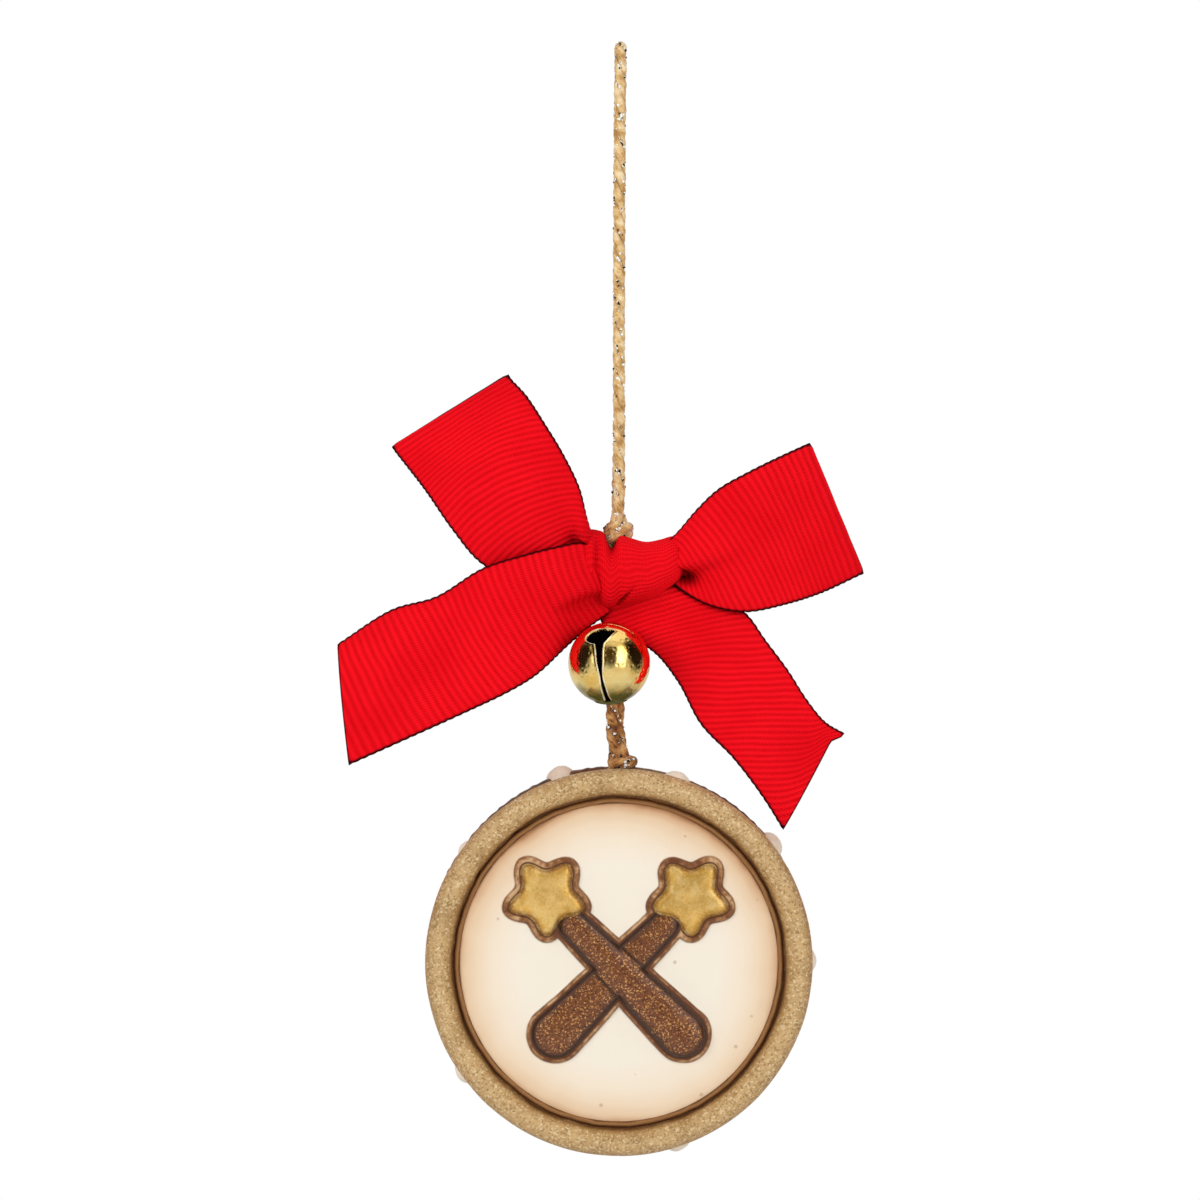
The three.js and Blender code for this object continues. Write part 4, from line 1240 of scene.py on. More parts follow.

# %% [markdown]
# ## Brass
# The bell is stamped from thin brass and tumbled until it shines, so it is a mirror with tiny dents. Low down
# it is painted dull olive, as a painted reflection of what lies below. The inside is painted nearly black as
# painted shade, and the slot's edge pale cream as a painted highlight.

# %% Polished brass
def polished_brass():
    """Yellow brass plate: a mirror dulled by rubbing and tiny dents, painted dull olive low down as a painted
    reflection.
    """
    material, tree, shader = new_material("polished_brass")
    place = add_node(tree, "ShaderNodeTexCoord").outputs["Object"]
    brass_mottle = add_node(tree, "ShaderNodeTexNoise", {
        "Vector": place, "Scale": 420.0, "Detail": 4.0}).outputs["Fac"]
    bright = add_node(tree, "ShaderNodeValToRGB", {"Fac": brass_mottle}, stops=[
        (0.30, "#F2C668"), (0.70, "#FFE8A0")]).outputs["Color"]
    # Painted reflection: below a ragged height the brass is painted dull olive and less metallic, as the
    # reflection of what lies below.
    height = add_node(tree, "ShaderNodeSeparateXYZ", {0: place}).outputs["Z"]
    patchy_height = add_node(tree, "ShaderNodeMath", {
        0: brass_mottle, 1: -0.0025, 2: height}, operation="MULTIPLY_ADD").outputs[0]
    painted_reflection_below = add_node(tree, "ShaderNodeMapRange", {
        "Value": patchy_height, "From Min": -0.0836, "From Max": -0.0848, "To Max": 0.9}).outputs["Result"]
    colour = add_node(tree, "ShaderNodeMix", {
        0: painted_reflection_below, 6: bright, 7: linear("#444E12")}, data_type="RGBA").outputs[2]
    metal = add_node(tree, "ShaderNodeMath", {
        0: painted_reflection_below, 1: -0.75, 2: 1.0}, operation="MULTIPLY_ADD").outputs[0]
    rough = add_node(tree, "ShaderNodeMapRange", {
        "Value": brass_mottle, "From Min": 0.3, "From Max": 0.75,
        "To Min": 0.10, "To Max": 0.20}).outputs["Result"]
    ripple = add_node(tree, "ShaderNodeTexNoise", {
        "Vector": place, "Scale": 650.0, "Detail": 2.0}).outputs["Fac"]
    dents = add_node(tree, "ShaderNodeTexVoronoi", {"Vector": place, "Scale": 1500.0, "Randomness": 1.0})
    dent = add_node(tree, "ShaderNodeMapRange", {
        "Value": dents.outputs["Distance"], "From Min": 0.15, "From Max": 0.45}).outputs["Result"]
    uneven_skin = add_node(tree, "ShaderNodeMath", {0: ripple, 1: dent}, operation="ADD").outputs[0]
    bump = add_node(tree, "ShaderNodeBump", {"Height": uneven_skin, "Strength": 0.20, "Distance": 0.0001})
    tree.links.new(colour, shader.inputs["Base Color"])
    tree.links.new(metal, shader.inputs["Metallic"])
    tree.links.new(rough, shader.inputs["Roughness"])
    tree.links.new(bump.outputs["Normal"], shader.inputs["Normal"])
    return material


brass_plate = polished_brass()
print(brass_plate.name, "has", len(brass_plate.node_tree.nodes), "nodes")

# %% Inside of the bell, and edge of its slot
def inside_shade_brass():
    """The inside of the cups, painted brown-black and rough as painted shade, so the openings look dark."""
    material, tree, shader = new_material("inside_shade_brass")
    place = add_node(tree, "ShaderNodeTexCoord").outputs["Object"]
    inside_mottle = add_node(tree, "ShaderNodeTexNoise", {
        "Vector": place, "Scale": 500.0, "Detail": 3.0}).outputs["Fac"]
    colour = add_node(tree, "ShaderNodeValToRGB", {"Fac": inside_mottle}, stops=[
        (0.35, "#140A05"), (0.70, "#2C190D")]).outputs["Color"]
    tree.links.new(colour, shader.inputs["Base Color"])
    shader.inputs["Metallic"].default_value = 0.3
    shader.inputs["Roughness"].default_value = 0.65
    return material


def slot_highlight_brass():
    """The turned-in edge of the slot, painted pale cream and a little duller as a painted highlight, so it
    draws a cream line.
    """
    material, tree, shader = new_material("slot_highlight_brass")
    place = add_node(tree, "ShaderNodeTexCoord").outputs["Object"]
    highlight_mottle = add_node(tree, "ShaderNodeTexNoise", {
        "Vector": place, "Scale": 900.0, "Detail": 3.0}).outputs["Fac"]
    colour = add_node(tree, "ShaderNodeValToRGB", {"Fac": highlight_mottle}, stops=[
        (0.35, "#D8B46A"), (0.60, "#FFF4D2")]).outputs["Color"]
    tree.links.new(colour, shader.inputs["Base Color"])
    shader.inputs["Metallic"].default_value = 0.5
    shader.inputs["Roughness"].default_value = 0.35
    return material


bell_materials = [brass_plate, inside_shade_brass(), slot_highlight_brass()]
print("finishes of the bell:", *(material.name for material in bell_materials))

# %% Make the bell
bell = bell_piece.build(bell_materials, weld=0.004)
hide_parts("jingle_bell")

# %% [markdown]
# ## Grosgrain ribbon
# Grosgrain is woven with thick cross threads under fine lengthwise ones, so it has ribs from edge to edge,
# about one to the millimetre. Each stretch of the bow is drawn by its two edges. A ribbon doesn't stretch,
# so the distance along each edge says which rib a point is on, and the ribs fan and lean by themselves.
# The ribs are real relief on both faces of the cloth, and they scallop its woven edges.

# %% A stretch of ribbon
RIB_PITCH = 0.98
CLOTH_HALF = 0.17
RIB_RISE = 0.12
ROW_STEP = 0.178
COLUMNS = 26
STATIONS = np.linspace(0, 1, 300)
LOOP_FOLD, CUT_END = 0.5, 1.0
print("rows of the mesh on each rib:", round(RIB_PITCH / ROW_STEP, 1))


def add_ribbon(piece, upper, lower, crown, counted_from, stray, pleat=None, ends=None):
    """One stretch of ribbon between two edges, as a thin closed skin with ribs on both faces.

    Ribs are counted from one place on the stretch, and each row of the mesh lies along a rib, so that
    no rib is cut by the mesh. crown(share) is how far the middle of the width stands out,
    stray(way, across) how far a rib lags behind a straight line, pleat(share, across) any fold on top,
    and ends(across) moves the cut end of the ribbon along.
    """
    upper_curve, lower_curve = smooth_curve(upper), smooth_curve(lower)
    upper_length, lower_length = arc_lengths(upper_curve)[-1], arc_lengths(lower_curve)[-1]
    across = np.linspace(0, 1, COLUMNS)
    length = upper_length * (1 - across) + lower_length * across
    way = np.abs(STATIONS - counted_from)[:, None]
    side = np.where(STATIONS <= counted_from, -1.0, 1.0)[:, None]
    count = side * (way * length + stray(way, across[None, :]))
    row_count = np.arange(count.min(), count.max() + ROW_STEP, ROW_STEP)
    rows = len(row_count)
    share = np.stack([np.interp(row_count, count[:, i], STATIONS) for i in range(COLUMNS)], axis=1)
    bulge = 4 * across * (1 - across)

    def chord(at):
        first, last = along_curve(upper_curve, at), along_curve(lower_curve, at)
        return first * (1 - across)[None, :, None] + last * across[None, :, None]

    def facing(surface):
        ahead = surface(np.minimum(share + 0.004, 1)) - surface(np.maximum(share - 0.004, 0))
        return unit(ahead), unit(np.cross(unit(ahead), np.gradient(surface(share), axis=1)))

    chord_ahead, chord_normal = facing(chord)
    lift = crown(share) * bulge
    if pleat:
        lift = lift + pleat(share, across[None, :])
    middle = chord(share) + chord_normal * lift[..., None]
    if ends is not None:
        middle = middle + chord_ahead * (ends(across) * smoothstep(0.9, 1.0, share))[..., None]
    width = np.gradient(middle, axis=1)
    slope = np.gradient(lift, axis=0) / ROW_STEP
    normal = unit(unit(np.cross(chord_ahead, width)) - chord_ahead * slope[..., None])
    wander = uneven(middle.reshape(-1, 3), 3.0, 0.16).reshape(rows, COLUMNS)
    rib_place = row_count[:, None] + wander
    rib = np.abs(np.sin(np.pi * rib_place / RIB_PITCH)) ** 0.8
    breadth = np.linalg.norm(along_curve(upper_curve, share) - along_curve(lower_curve, share), axis=-1)
    edge = np.minimum(across, 1 - across) * breadth
    scallop = 0.10 * (rib - 0.5) * np.exp(-edge / 0.25)
    outward = np.where(across < 0.5, -1.0, 1.0)[None, :, None]
    middle = middle + unit(width) * outward * scallop[..., None]
    thin = np.where((across == 0) | (across == 1), 0.45, 1.0)
    half = (CLOTH_HALF + RIB_RISE * rib) * thin
    front = middle + normal * half[..., None]
    back = middle - normal * half[..., None]
    layer = rows * COLUMNS
    near, far = grid_faces(rows, COLUMNS), grid_faces(rows, COLUMNS) + layer
    line = np.arange(rows - 1) * COLUMNS
    column = np.arange(COLUMNS - 1)
    final = (rows - 1) * COLUMNS
    rims = [
        np.stack([line, line + COLUMNS, line + COLUMNS + layer, line + layer], axis=-1),
        np.stack([line + COLUMNS - 1, line + 2 * COLUMNS - 1, line + 2 * COLUMNS - 1 + layer,
                  line + COLUMNS - 1 + layer], axis=-1),
        np.stack([column, column + 1, column + 1 + layer, column + layer], axis=-1),
        np.stack([column, column + 1, column + 1 + layer, column + layer], axis=-1) + final,
    ]
    # The dark edge line is also drawn along a loop's fold and a tail's cut end, as painted shade where the
    # cloth turns over.
    from_line = np.abs(share - counted_from) * length * (1.3 if counted_from == CUT_END else 0.8)
    edge = np.minimum(edge, from_line + 0.06)
    # The rib value also sets the cloth's painted highlight on each rib's top and painted shade between the
    # ribs.
    values = dict(rib=rib, rib_place=rib_place, across=across * breadth, edge=edge)
    values = {key: np.tile(value.ravel(), 2) for key, value in values.items()}
    piece.add(np.vstack([front.reshape(-1, 3), back.reshape(-1, 3)]), [near, far, *rims], **values)
    return (upper_length + lower_length) / 2


# %% [markdown]
# ## The bow's loops
# A loop goes out along its front layer, turns at the fold and comes home along its back layer. Each edge
# point is x, depth of the front layer, z and depth of the back layer, and the last point is the fold.

# %% Edges of the loops
LEFT_LOOP_UPPER = [
    (-3.8, -2.2, -63.4, 2.0), (-4.5, -3.0, -60.6, 2.8), (-5.3, -3.7, -57.0, 3.4), (-7.6, -4.3, -52.2, 3.6),
    (-9.6, -4.0, -48.9, 3.3), (-12.2, -2.6, -44.9, 2.4), (-14.2, -0.9, -42.7, 0.9)]
LEFT_LOOP_LOWER = [
    (-4.2, -1.2, -69.6, 1.0), (-9.0, -2.0, -69.8, 1.8), (-13.6, -2.6, -68.9, 2.6), (-18.2, -3.0, -66.6, 3.0),
    (-21.8, -3.0, -62.4, 3.2), (-25.5, -2.2, -57.1, 2.4), (-29.4, -0.6, -52.1, 1.2)]
RIGHT_LOOP_UPPER = [
    (5.8, -2.6, -64.2, 2.2), (7.7, -3.4, -62.3, 2.7), (9.9, -4.2, -59.7, 3.2), (12.6, -4.6, -57.1, 3.6),
    (16.4, -4.6, -54.9, 3.6), (20.2, -3.4, -53.0, 2.4), (23.9, -1.7, -51.3, 0.0)]
RIGHT_LOOP_LOWER = [
    (5.6, -2.0, -68.6, 1.0), (8.0, -2.6, -70.4, 1.8), (11.6, -3.2, -72.2, 2.4), (16.2, -3.7, -73.0, 2.8),
    (21.5, -3.4, -72.0, 2.7), (26.2, -2.4, -70.5, 2.0), (31.0, -0.9, -68.3, 0.9)]
FOLD_REACH = 0.75


def loop_edge(edge, outward):
    """The whole trip of one edge: out in front, round the fold and back behind."""
    front = [(x, front_y, z) for x, front_y, z, back_y in edge]
    home = [(x, back_y, z) for x, front_y, z, back_y in edge][::-1]
    x, front_y, z, back_y = edge[-1]
    turn = (x + outward[0] * FOLD_REACH, (front_y + back_y) / 2, z + outward[1] * FOLD_REACH)
    return front + [turn] + home


print("points on one edge of a loop:", len(loop_edge(LEFT_LOOP_UPPER, (0, 0))))

# %% [markdown]
# ## The bow's tails
# The tails come out from under the wrap and hang free. Each edge point is x, depth and z, and the last
# point is at the cut end.

# %% Edges of the tails


LEFT_TAIL_UPPER = [
    (-2.2, -3.0, -65.2), (-5.0, -4.2, -64.0), (-8.2, -5.0, -64.5), (-12.2, -5.3, -65.5), (-17.8, -5.0, -67.3),
    (-23.9, -4.0, -71.0), (-29.7, -3.0, -72.7), (-36.8, -2.0, -77.2)]
LEFT_TAIL_LOWER = [
    (-1.6, -2.2, -73.2), (-4.0, -3.2, -75.0), (-6.9, -4.6, -77.4), (-11.0, -6.2, -81.2), (-14.6, -6.9, -83.4),
    (-20.5, -7.0, -86.2), (-27.6, -6.6, -89.4), (-35.2, -6.0, -92.8)]
RIGHT_TAIL_UPPER = [
    (4.5, -1.6, -66.6), (10.0, -1.5, -69.4), (16.2, -2.2, -73.1), (18.8, -2.6, -76.6), (21.7, -2.9, -80.5),
    (24.2, -3.0, -84.4), (26.6, -3.0, -87.3), (29.1, -3.0, -88.8)]
RIGHT_TAIL_LOWER = [
    (-3.0, -1.6, -73.0), (-2.3, -1.6, -74.5), (0.6, -1.6, -76.0), (4.4, -2.1, -78.3), (7.5, -3.3, -82.2),
    (10.4, -4.2, -87.6), (14.6, -4.6, -92.0), (18.4, -4.5, -97.0), (21.1, -4.0, -101.3)]
left_tail_length = arc_lengths(smooth_curve(LEFT_TAIL_UPPER))[-1]
print("length of the left tail's upper edge in millimetres:", round(left_tail_length, 1))

# %% [markdown]
# ## Folds and ribs of the stretches
# Where the cloth is gathered into the knot it is pleated and hollow. Each fold is a lift over the smooth
# stretch that fades out along it and across it. The ribs lean and bow as the cloth is pulled askew.

# %% Folds near the knot
def bump_at(value, middle, width):
    return np.exp(-((value - middle) / width) ** 2)


def ridge_fold(across, crease, sharpness):
    """A step in the cloth at a crease that fades out on both sides."""
    step = 0.5 - 1.0 / (1.0 + np.exp(-(across - crease) / sharpness))
    return step * bump_at(across, crease, 0.3)


def left_loop_pleat(share, across):
    """Narrow pleats where the loop is gathered into the knot, and one deep hollow near its upper edge."""
    from_knot = np.minimum(share, 1 - share)
    pleats = 0.9 * bump_at(from_knot, 0, 0.10) * np.sin(across * 3.4 * np.pi + 0.4 + 6.0 * from_knot)
    return pleats + 1.9 * bump_at(across, 0.30 - 1.5 * from_knot, 0.08) * bump_at(from_knot, 0.045, 0.035)


def right_loop_pleat(share, across):
    """The upper part of the loop overhangs a crease, with a hollow under it."""
    from_knot = np.minimum(share, 1 - share)
    overhang = -3.0 * bump_at(from_knot, 0, 0.16) * ridge_fold(across, 0.62 - 0.4 * from_knot, 0.018)
    return overhang + 2.0 * bump_at(across, 0.74, 0.12) * bump_at(from_knot, 0.03, 0.08)


def left_tail_pleat(share, across):
    return 2.6 * bump_at(share, 0.10, 0.09) * ridge_fold(across, 0.62 - 0.2 * share, 0.02)


def right_tail_pleat(share, across):
    """The tail comes out from under the knot and has two soft creases there."""
    waves = 0.35 * np.sin(across * 11.0 + 9.0 * share) * bump_at(share, 0.12, 0.14)
    return 0.3 * bump_at(share, 0, 0.13) + waves


def corner_notch(across):
    """The cut end runs back from its frayed upper corner, then straight to the lower corner."""
    return -1.05 * smoothstep(0.02, 0.14, across) * (1 - across)


print("the notch in the right tail's end is", round(-corner_notch(0.14), 2), "mm deep")

# %% How the ribs run on each stretch
def left_loop_ribs(way, across):
    bow = 2.1 * smoothstep(0, 0.16, way) * 4 * across * (1 - across)
    return 8.0 * way + 3.0 * smoothstep(0, 0.18, way) * across + bow


def right_loop_ribs(way, across):
    bow = 0.5 * smoothstep(0.1, 0.3, way) * 4 * across * (1 - across)
    return 3.4 * smoothstep(0.04, 0.28, way) * across + bow


def left_tail_ribs(way, across):
    bow = 1.0 * smoothstep(0.3, 0.65, way) * 4 * across * (1 - across)
    return bow - (4.4 + 2.2 * np.sin(np.pi * way)) * across


def right_tail_ribs(way, across):
    gathered = 1.8 * smoothstep(0, 0.14, way) * (1 - across) ** 2
    bow = 0.8 * np.sin(np.pi * way) * 4 * across * (1 - across)
    return gathered + bow - (12.8 - 4.0 * smoothstep(0.5, 0.95, way)) * across


def loop_crown(amount):
    return lambda share: amount * np.abs(np.sin(2 * np.pi * share))


def tail_crown(amount):
    return lambda share: amount * np.ones_like(share)


print("a rib of the left loop lags by", round(left_loop_ribs(0.25, 0.5), 1), "mm a quarter of the way out")

# %% [markdown]
# ## The knot of the bow
# The ribbon is wrapped once round the middle and pulled tight, so its ribs lie level and are crowded into
# waves. The wrap is a barrel drawn by stations from left to right, each with its own top, bottom, front
# and back. It has a notch at the top where the cord's own knot comes out.

# %% Shape of the wrap
KNOT_STATIONS = [
    (-5.5, -64.4, -69.6, -2.4, 2.4), (-5.1, -62.9, -71.0, -4.0, 3.6), (-4.2, -62.3, -71.7, -4.9, 4.3),
    (-3.4, -62.3, -72.0, -4.9, 4.5), (-2.9, -62.4, -72.1, -4.6, 4.5), (-2.2, -62.7, -72.6, -5.3, 4.9),
    (-1.7, -63.9, -72.7, -5.5, 5.0), (-1.2, -64.7, -72.6, -5.5, 5.0), (-0.8, -64.3, -72.5, -5.5, 5.0),
    (-0.1, -63.0, -72.2, -5.5, 5.0), (1.3, -63.4, -71.9, -5.6, 5.0), (3.3, -63.9, -71.4, -5.6, 4.8),
    (5.2, -63.6, -70.6, -5.4, 4.7), (6.6, -63.2, -69.7, -5.0, 4.4), (7.5, -63.3, -69.0, -4.4, 3.9),
    (8.1, -64.2, -68.2, -3.0, 2.8)]
WRAP_RIBS = 42
WRAP_ROWS = 60
WRAP_AROUND = 336
THREAD_PITCH = 0.3
print("points in the grid of the wrap:", WRAP_ROWS * WRAP_AROUND)


def add_wrap(piece):
    stations = smooth_curve(KNOT_STATIONS)
    rows = along_curve(stations[:, :1], np.linspace(0, 1, WRAP_ROWS))[:, 0]
    top, bottom, front, back = (np.interp(rows, stations[:, 0], stations[:, i]) for i in range(1, 5))
    angle = np.linspace(0, 2 * np.pi, WRAP_AROUND, endpoint=False)[None, :]
    x = rows[:, None]

    def soft(value):
        return np.sign(value) * np.abs(value) ** 0.82

    level = (top + bottom)[:, None] / 2 + (top - bottom)[:, None] / 2 * soft(np.sin(angle))
    depth = (front + back)[:, None] / 2 - (back - front)[:, None] / 2 * soft(np.cos(angle))
    centre_y = ((front + back) / 2)[:, None]
    centre_z = ((top + bottom) / 2)[:, None]
    wave = 0.24 * np.sin(1.15 * x + 0.8) * np.sin(angle + 0.6) + 0.14 * np.sin(2.3 * x + 3.0 * angle)
    rib_phase = WRAP_RIBS / 2 * (angle + 0.16 * wave)
    rib = np.abs(np.sin(rib_phase)) ** 0.8
    in_front = smoothstep(0.1, 0.7, np.cos(angle + 0.25))
    fold = -0.55 * bump_at(x, -3.2, 0.26) * in_front
    lower_fold = -0.9 * bump_at(x, 1.0 + 3.0 * (angle - 5.57), 0.34) * bump_at(angle, 5.25, 0.42)
    end_fade = smoothstep(-5.6, -4.6, x) * smoothstep(8.2, 7.4, x)
    lift = (0.15 * (rib - 0.5) + fold + lower_fold) * end_fade
    outward = np.stack([0 * level, depth - centre_y, level - centre_z], axis=-1)
    points = np.stack([x + 0 * level, depth, level], axis=-1) + unit(outward) * lift[..., None]
    rib_place = rib_phase * RIB_PITCH / np.pi
    # On the wrap the rib value is kept between 0.4 and 1, so its painted shade between the ribs is lighter.
    add_tube(piece, points, rib=0.4 + 0.6 * rib, rib_place=rib_place, across=x + 0 * level, edge=3.0)
    middle = points[WRAP_ROWS // 2]
    return float(np.linalg.norm(np.roll(middle, -1, axis=0) - middle, axis=1).sum())


# %% [markdown]
# ## The ribbon's cloth
# The yarn is bright polyester, dyed through, so the red is deep and only a little glossy. The tops of the
# ribs are painted lighter, and the spaces between them and the folds deeper red, as painted highlight and
# painted shade. The woven edge is a dark line of tight thread, and the same dark line is painted along the
# folds and cut ends as painted shade.

# %% Red grosgrain
def red_grosgrain():
    """Polyester grosgrain: saturated red, with a painted gleam on each rib and painted shade in deeper red
    between them.

    The fine lengthwise threads are 0.1 mm apart, below a pixel, so they are drawn at 0.3 mm.
    """
    material, tree, shader = new_material("red_polyester_grosgrain")
    place = add_node(tree, "ShaderNodeTexCoord").outputs["Object"]
    across, rib_place, rib, edge = (
        add_node(tree, "ShaderNodeAttribute", attribute_name=name).outputs["Fac"]
        for name in ("across", "rib_place", "rib", "edge"))
    weave_place = add_node(tree, "ShaderNodeCombineXYZ", {"X": across, "Y": rib_place}).outputs[0]
    threads = add_node(tree, "ShaderNodeTexWave", {
        "Vector": weave_place, "Scale": 2 * math.pi / (20 * THREAD_PITCH),
        "Distortion": 3.0, "Detail": 2.0}, bands_direction="X").outputs["Fac"]
    fuzz = add_node(tree, "ShaderNodeTexNoise", {
        "Vector": place, "Scale": 2600.0, "Detail": 3.0, "Roughness": 0.7}).outputs["Fac"]
    patches = add_node(tree, "ShaderNodeTexNoise", {
        "Vector": place, "Scale": 120.0, "Detail": 2.0}).outputs["Fac"]
    # Painted highlight and painted shade: the red is lighter on the top of each rib and deeper between the
    # ribs.
    base = add_node(tree, "ShaderNodeValToRGB", {"Fac": rib}, stops=[
        (0.0, "#BC000A"), (1.0, "#F40E1C"), (0.45, "#D8040E"), (0.8, "#E60612")]).outputs["Color"]
    # Painted highlight: the thread streaks lift the red towards a brighter red, as a gleam on the threads.
    streaks = add_node(tree, "ShaderNodeMath", {0: threads, 1: fuzz}, operation="MULTIPLY").outputs[0]
    gleam = add_node(tree, "ShaderNodeMapRange", {
        "Value": streaks, "From Min": 0.10, "From Max": 0.5, "To Max": 0.35}).outputs["Result"]
    light = add_node(tree, "ShaderNodeMix", {
        0: gleam, 6: base, 7: linear("#FF2231")}, data_type="RGBA").outputs[2]
    patch_share = add_node(tree, "ShaderNodeMapRange", {
        "Value": patches, "From Min": 0.35, "From Max": 0.65, "To Max": 0.30}).outputs["Result"]
    patched = add_node(tree, "ShaderNodeMix", {
        0: patch_share, 6: light, 7: linear("#C4000C")}, data_type="RGBA").outputs[2]
    # A dark line along the woven edges from their tight thread, and along the loops' folds and the tails' cut
    # ends as painted shade.
    edge_line_and_fold_shade = add_node(tree, "ShaderNodeMapRange", {
        "Value": edge, "From Min": 0.40, "From Max": 0.16}).outputs["Result"]
    # Painted shade: ambient occlusion darkens the red to a deep red in the folds, under the knot and wherever
    # the cloth is closed in.
    open_to_light = add_node(tree, "ShaderNodeAmbientOcclusion", {
        "Distance": 0.004}, samples=6).outputs["AO"]
    hollow = add_node(tree, "ShaderNodeMapRange", {
        "Value": open_to_light, "From Min": 0.62, "From Max": 0.12}).outputs["Result"]
    shaded = add_node(tree, "ShaderNodeMix", {
        0: hollow, 6: patched, 7: linear("#5C0005")}, data_type="RGBA").outputs[2]
    colour = add_node(tree, "ShaderNodeMix", {
        0: edge_line_and_fold_shade, 6: shaded, 7: linear("#300308")}, data_type="RGBA").outputs[2]
    height = add_node(tree, "ShaderNodeMath", {0: threads, 1: fuzz}, operation="ADD").outputs[0]
    bump = add_node(tree, "ShaderNodeBump", {"Height": height, "Strength": 0.25, "Distance": 0.00006})
    tree.links.new(colour, shader.inputs["Base Color"])
    tree.links.new(bump.outputs["Normal"], shader.inputs["Normal"])
    shader.inputs["Roughness"].default_value = 0.70
    shader.inputs["Specular IOR Level"].default_value = 0.04
    return material


ribbon_cloth = red_grosgrain()
print(ribbon_cloth.name, "has ribs", RIB_PITCH, "mm apart")

# %% Make the bow
bow_piece = Piece("grosgrain_bow", ("rib", "rib_place", "across", "edge"))
LEFT_FOLD, RIGHT_FOLD = (-0.54, 0.84), (0.92, 0.39)
stretches = [
    add_ribbon(
        bow_piece, loop_edge(LEFT_LOOP_UPPER, LEFT_FOLD), loop_edge(LEFT_LOOP_LOWER, LEFT_FOLD),
        loop_crown(0.9), LOOP_FOLD, left_loop_ribs, left_loop_pleat),
    add_ribbon(
        bow_piece, loop_edge(RIGHT_LOOP_UPPER, RIGHT_FOLD), loop_edge(RIGHT_LOOP_LOWER, RIGHT_FOLD),
        loop_crown(-0.7), LOOP_FOLD, right_loop_ribs, right_loop_pleat),
    add_ribbon(
        bow_piece, LEFT_TAIL_UPPER, LEFT_TAIL_LOWER,
        tail_crown(0.6), CUT_END, left_tail_ribs, left_tail_pleat),
    add_ribbon(
        bow_piece, RIGHT_TAIL_UPPER, RIGHT_TAIL_LOWER,
        tail_crown(-0.5), CUT_END, right_tail_ribs, right_tail_pleat, corner_notch),
]
wrap_length = add_wrap(bow_piece)
bow = bow_piece.build([ribbon_cloth], weld=0.002)
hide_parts("ribbon_bow")

# %% [markdown]
# ## Light, background and floor
# The catalogue picture has a white background and very soft light from both sides. The world is white
# where the camera sees it. For light and reflections it is a pale room with some dark places in it, because
# the polished bell needs something dark to mirror, or it would look like flat yellow paint.

# %% The room
ROOM_LIGHT = "#CCCCCC"
MIRRORED_ROOM = "#E2E0DA"
# What polished metal mirrors: the way to each patch's middle, its reach along X, Y and Z, colour, strength
ROOM_PATCHES = [
    ((0.25, 0.05, 0.95), (0.60, 0.60, 0.30), "#FFFFFF", 1.1),
    ((-0.75, 0.55, 0.45), (0.50, 0.50, 0.80), "#C00814", 1.0),
    ((0.75, 0.55, 0.45), (0.50, 0.50, 0.90), "#C00814", 1.0),
    ((-0.95, -0.08, 0.27), (0.70, 0.66, 0.84), "#1C0E04", 1.0),
    ((0.95, -0.10, 0.36), (0.64, 0.66, 0.86), "#1C0E04", 1.0),
    ((0.06, -0.93, 0.36), (0.46, 0.60, 0.70), "#40340F", 1.0),
    ((0.0, 0.10, -1.0), (0.66, 0.66, 0.50), "#42480C", 1.0),
    ((0.56, -0.74, 0.36), (0.28, 0.50, 0.66), "#FFFFFF", 2.6),
    ((-0.60, -0.70, 0.30), (0.22, 0.40, 0.44), "#FFFFFF", 1.4),
]
RAGGED = 0.35


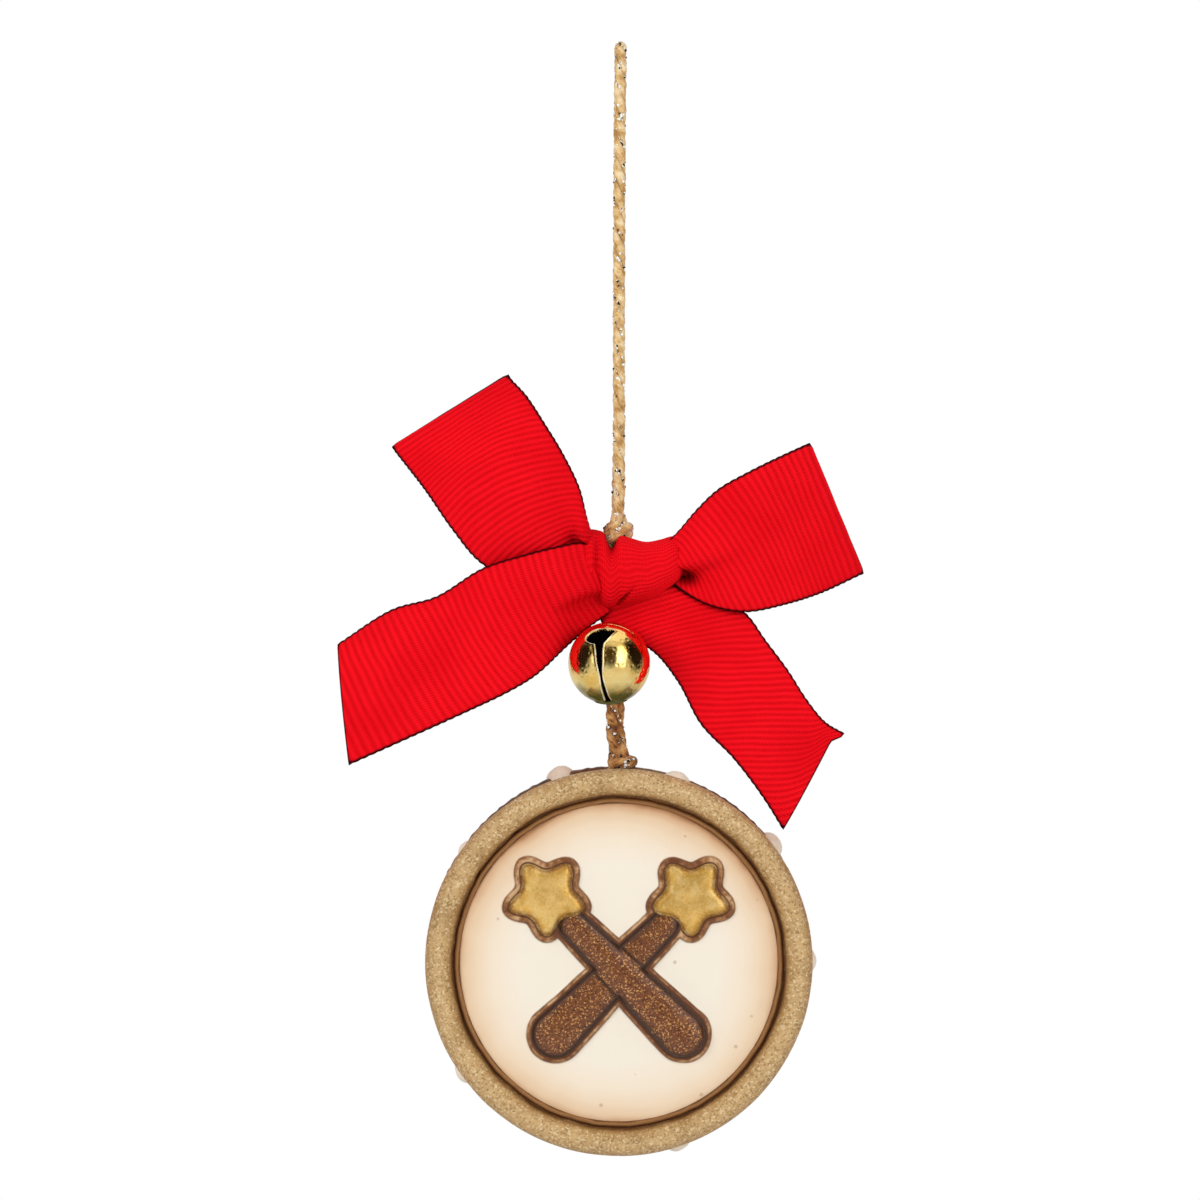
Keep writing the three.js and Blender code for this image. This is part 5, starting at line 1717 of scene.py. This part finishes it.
def white_room():
    world = bpy.data.worlds.new("white_room")
    bpy.context.scene.world = world
    world.use_nodes = True
    tree = world.node_tree
    tree.nodes.clear()
    straight = add_node(tree, "ShaderNodeTexCoord").outputs["Generated"]
    clutter = add_node(tree, "ShaderNodeTexNoise", {
        "Vector": straight, "Scale": 7.0, "Detail": 4.0}).outputs["Color"]
    direction = clutter
    for operation, other in (("SUBTRACT", (0.5,) * 3), ("MULTIPLY", (RAGGED,) * 3), ("ADD", straight)):
        direction = add_node(tree, "ShaderNodeVectorMath", {
            0: direction, 1: other}, operation=operation).outputs[0]
    mirrored = linear(MIRRORED_ROOM)
    for towards, reach, tint, strength in ROOM_PATCHES:
        offset = add_node(tree, "ShaderNodeVectorMath", {
            0: direction, 1: tuple(Vector(towards).normalized())}, operation="SUBTRACT").outputs[0]
        scaled = add_node(tree, "ShaderNodeVectorMath", {
            0: offset, 1: reach}, operation="DIVIDE").outputs[0]
        away = add_node(tree, "ShaderNodeVectorMath", {
            0: scaled}, operation="LENGTH").outputs["Value"]
        share = add_node(tree, "ShaderNodeMapRange", {
            "Value": away, "From Min": 1.0, "From Max": 0.5},
            interpolation_type="SMOOTHSTEP").outputs["Result"]
        light = tuple(channel * strength for channel in linear(tint)[:3]) + (1.0,)
        mirrored = add_node(tree, "ShaderNodeMix", {
            0: share, 6: mirrored, 7: light}, data_type="RGBA").outputs[2]
    rays = add_node(tree, "ShaderNodeLightPath")
    room = add_node(tree, "ShaderNodeMix", {
        0: rays.outputs["Is Glossy Ray"], 6: linear(ROOM_LIGHT), 7: mirrored}, data_type="RGBA").outputs[2]
    seen = add_node(tree, "ShaderNodeMix", {
        0: rays.outputs["Is Camera Ray"], 6: room, 7: (1.0, 1.0, 1.0, 1.0)}, data_type="RGBA").outputs[2]
    background = add_node(tree, "ShaderNodeBackground", {"Color": seen, "Strength": 1.0})
    add_node(tree, "ShaderNodeOutputWorld", {"Surface": background.outputs[0]})


white_room()
bpy.context.scene.view_settings.view_transform = "Standard"
print("patches that the brass mirrors:", len(ROOM_PATCHES))


# %% [markdown]
# ## Soft lights and floor
# Two large softboxes stand before the ornament on both sides, the left one a little stronger. The floor is
# pale and plain, and lies below the picture, since the ornament hangs.

# %% Soft lights
def soft_light(name, place, size, watts, target=(0.0, 0.0, -95.0)):
    data = bpy.data.lights.new(name, "AREA")
    data.energy = watts
    data.size = size * MM
    light = bpy.data.objects.new(name, data)
    light.location = Vector(place) * MM
    towards = (Vector(target) - Vector(place)).normalized()
    light.rotation_euler = towards.to_track_quat("-Z", "Y").to_euler()
    light.visible_glossy = False
    bpy.context.collection.objects.link(light)


soft_light("left_softbox", (-420, -430, 120), 260, 1.5)
soft_light("right_softbox", (380, -480, 40), 220, 1.0)
print("lights:", *(light.name for light in bpy.data.lights))

# %% Pale floor
FLOOR_DROP = 220.0
FLOOR_RADIUS = 300.0
floor_mesh = bpy.data.meshes.new("pale_floor")
floor_ring = oval(FLOOR_RADIUS, FLOOR_RADIUS, 96)
floor_points = [(x * MM, y * MM, -FLOOR_DROP * MM) for x, y in floor_ring]
floor_mesh.from_pydata(floor_points, [], [list(range(len(floor_points)))])
pale, pale_tree, pale_shader = new_material("pale_floor_paint")
speckle = add_node(pale_tree, "ShaderNodeTexNoise", {"Scale": 40.0})
pale_colour = add_node(pale_tree, "ShaderNodeValToRGB", {"Fac": speckle.outputs["Fac"]}, stops=[
    (0.3, "#E9E8E6"), (0.7, "#EFEEEC")])
pale_tree.links.new(pale_colour.outputs["Color"], pale_shader.inputs["Base Color"])
pale_shader.inputs["Roughness"].default_value = 0.8
floor_mesh.materials.append(pale)
floor = bpy.data.objects.new("pale_floor", floor_mesh)
bpy.context.collection.objects.link(floor)
print("the floor lies", FLOOR_DROP, "mm below the hook")
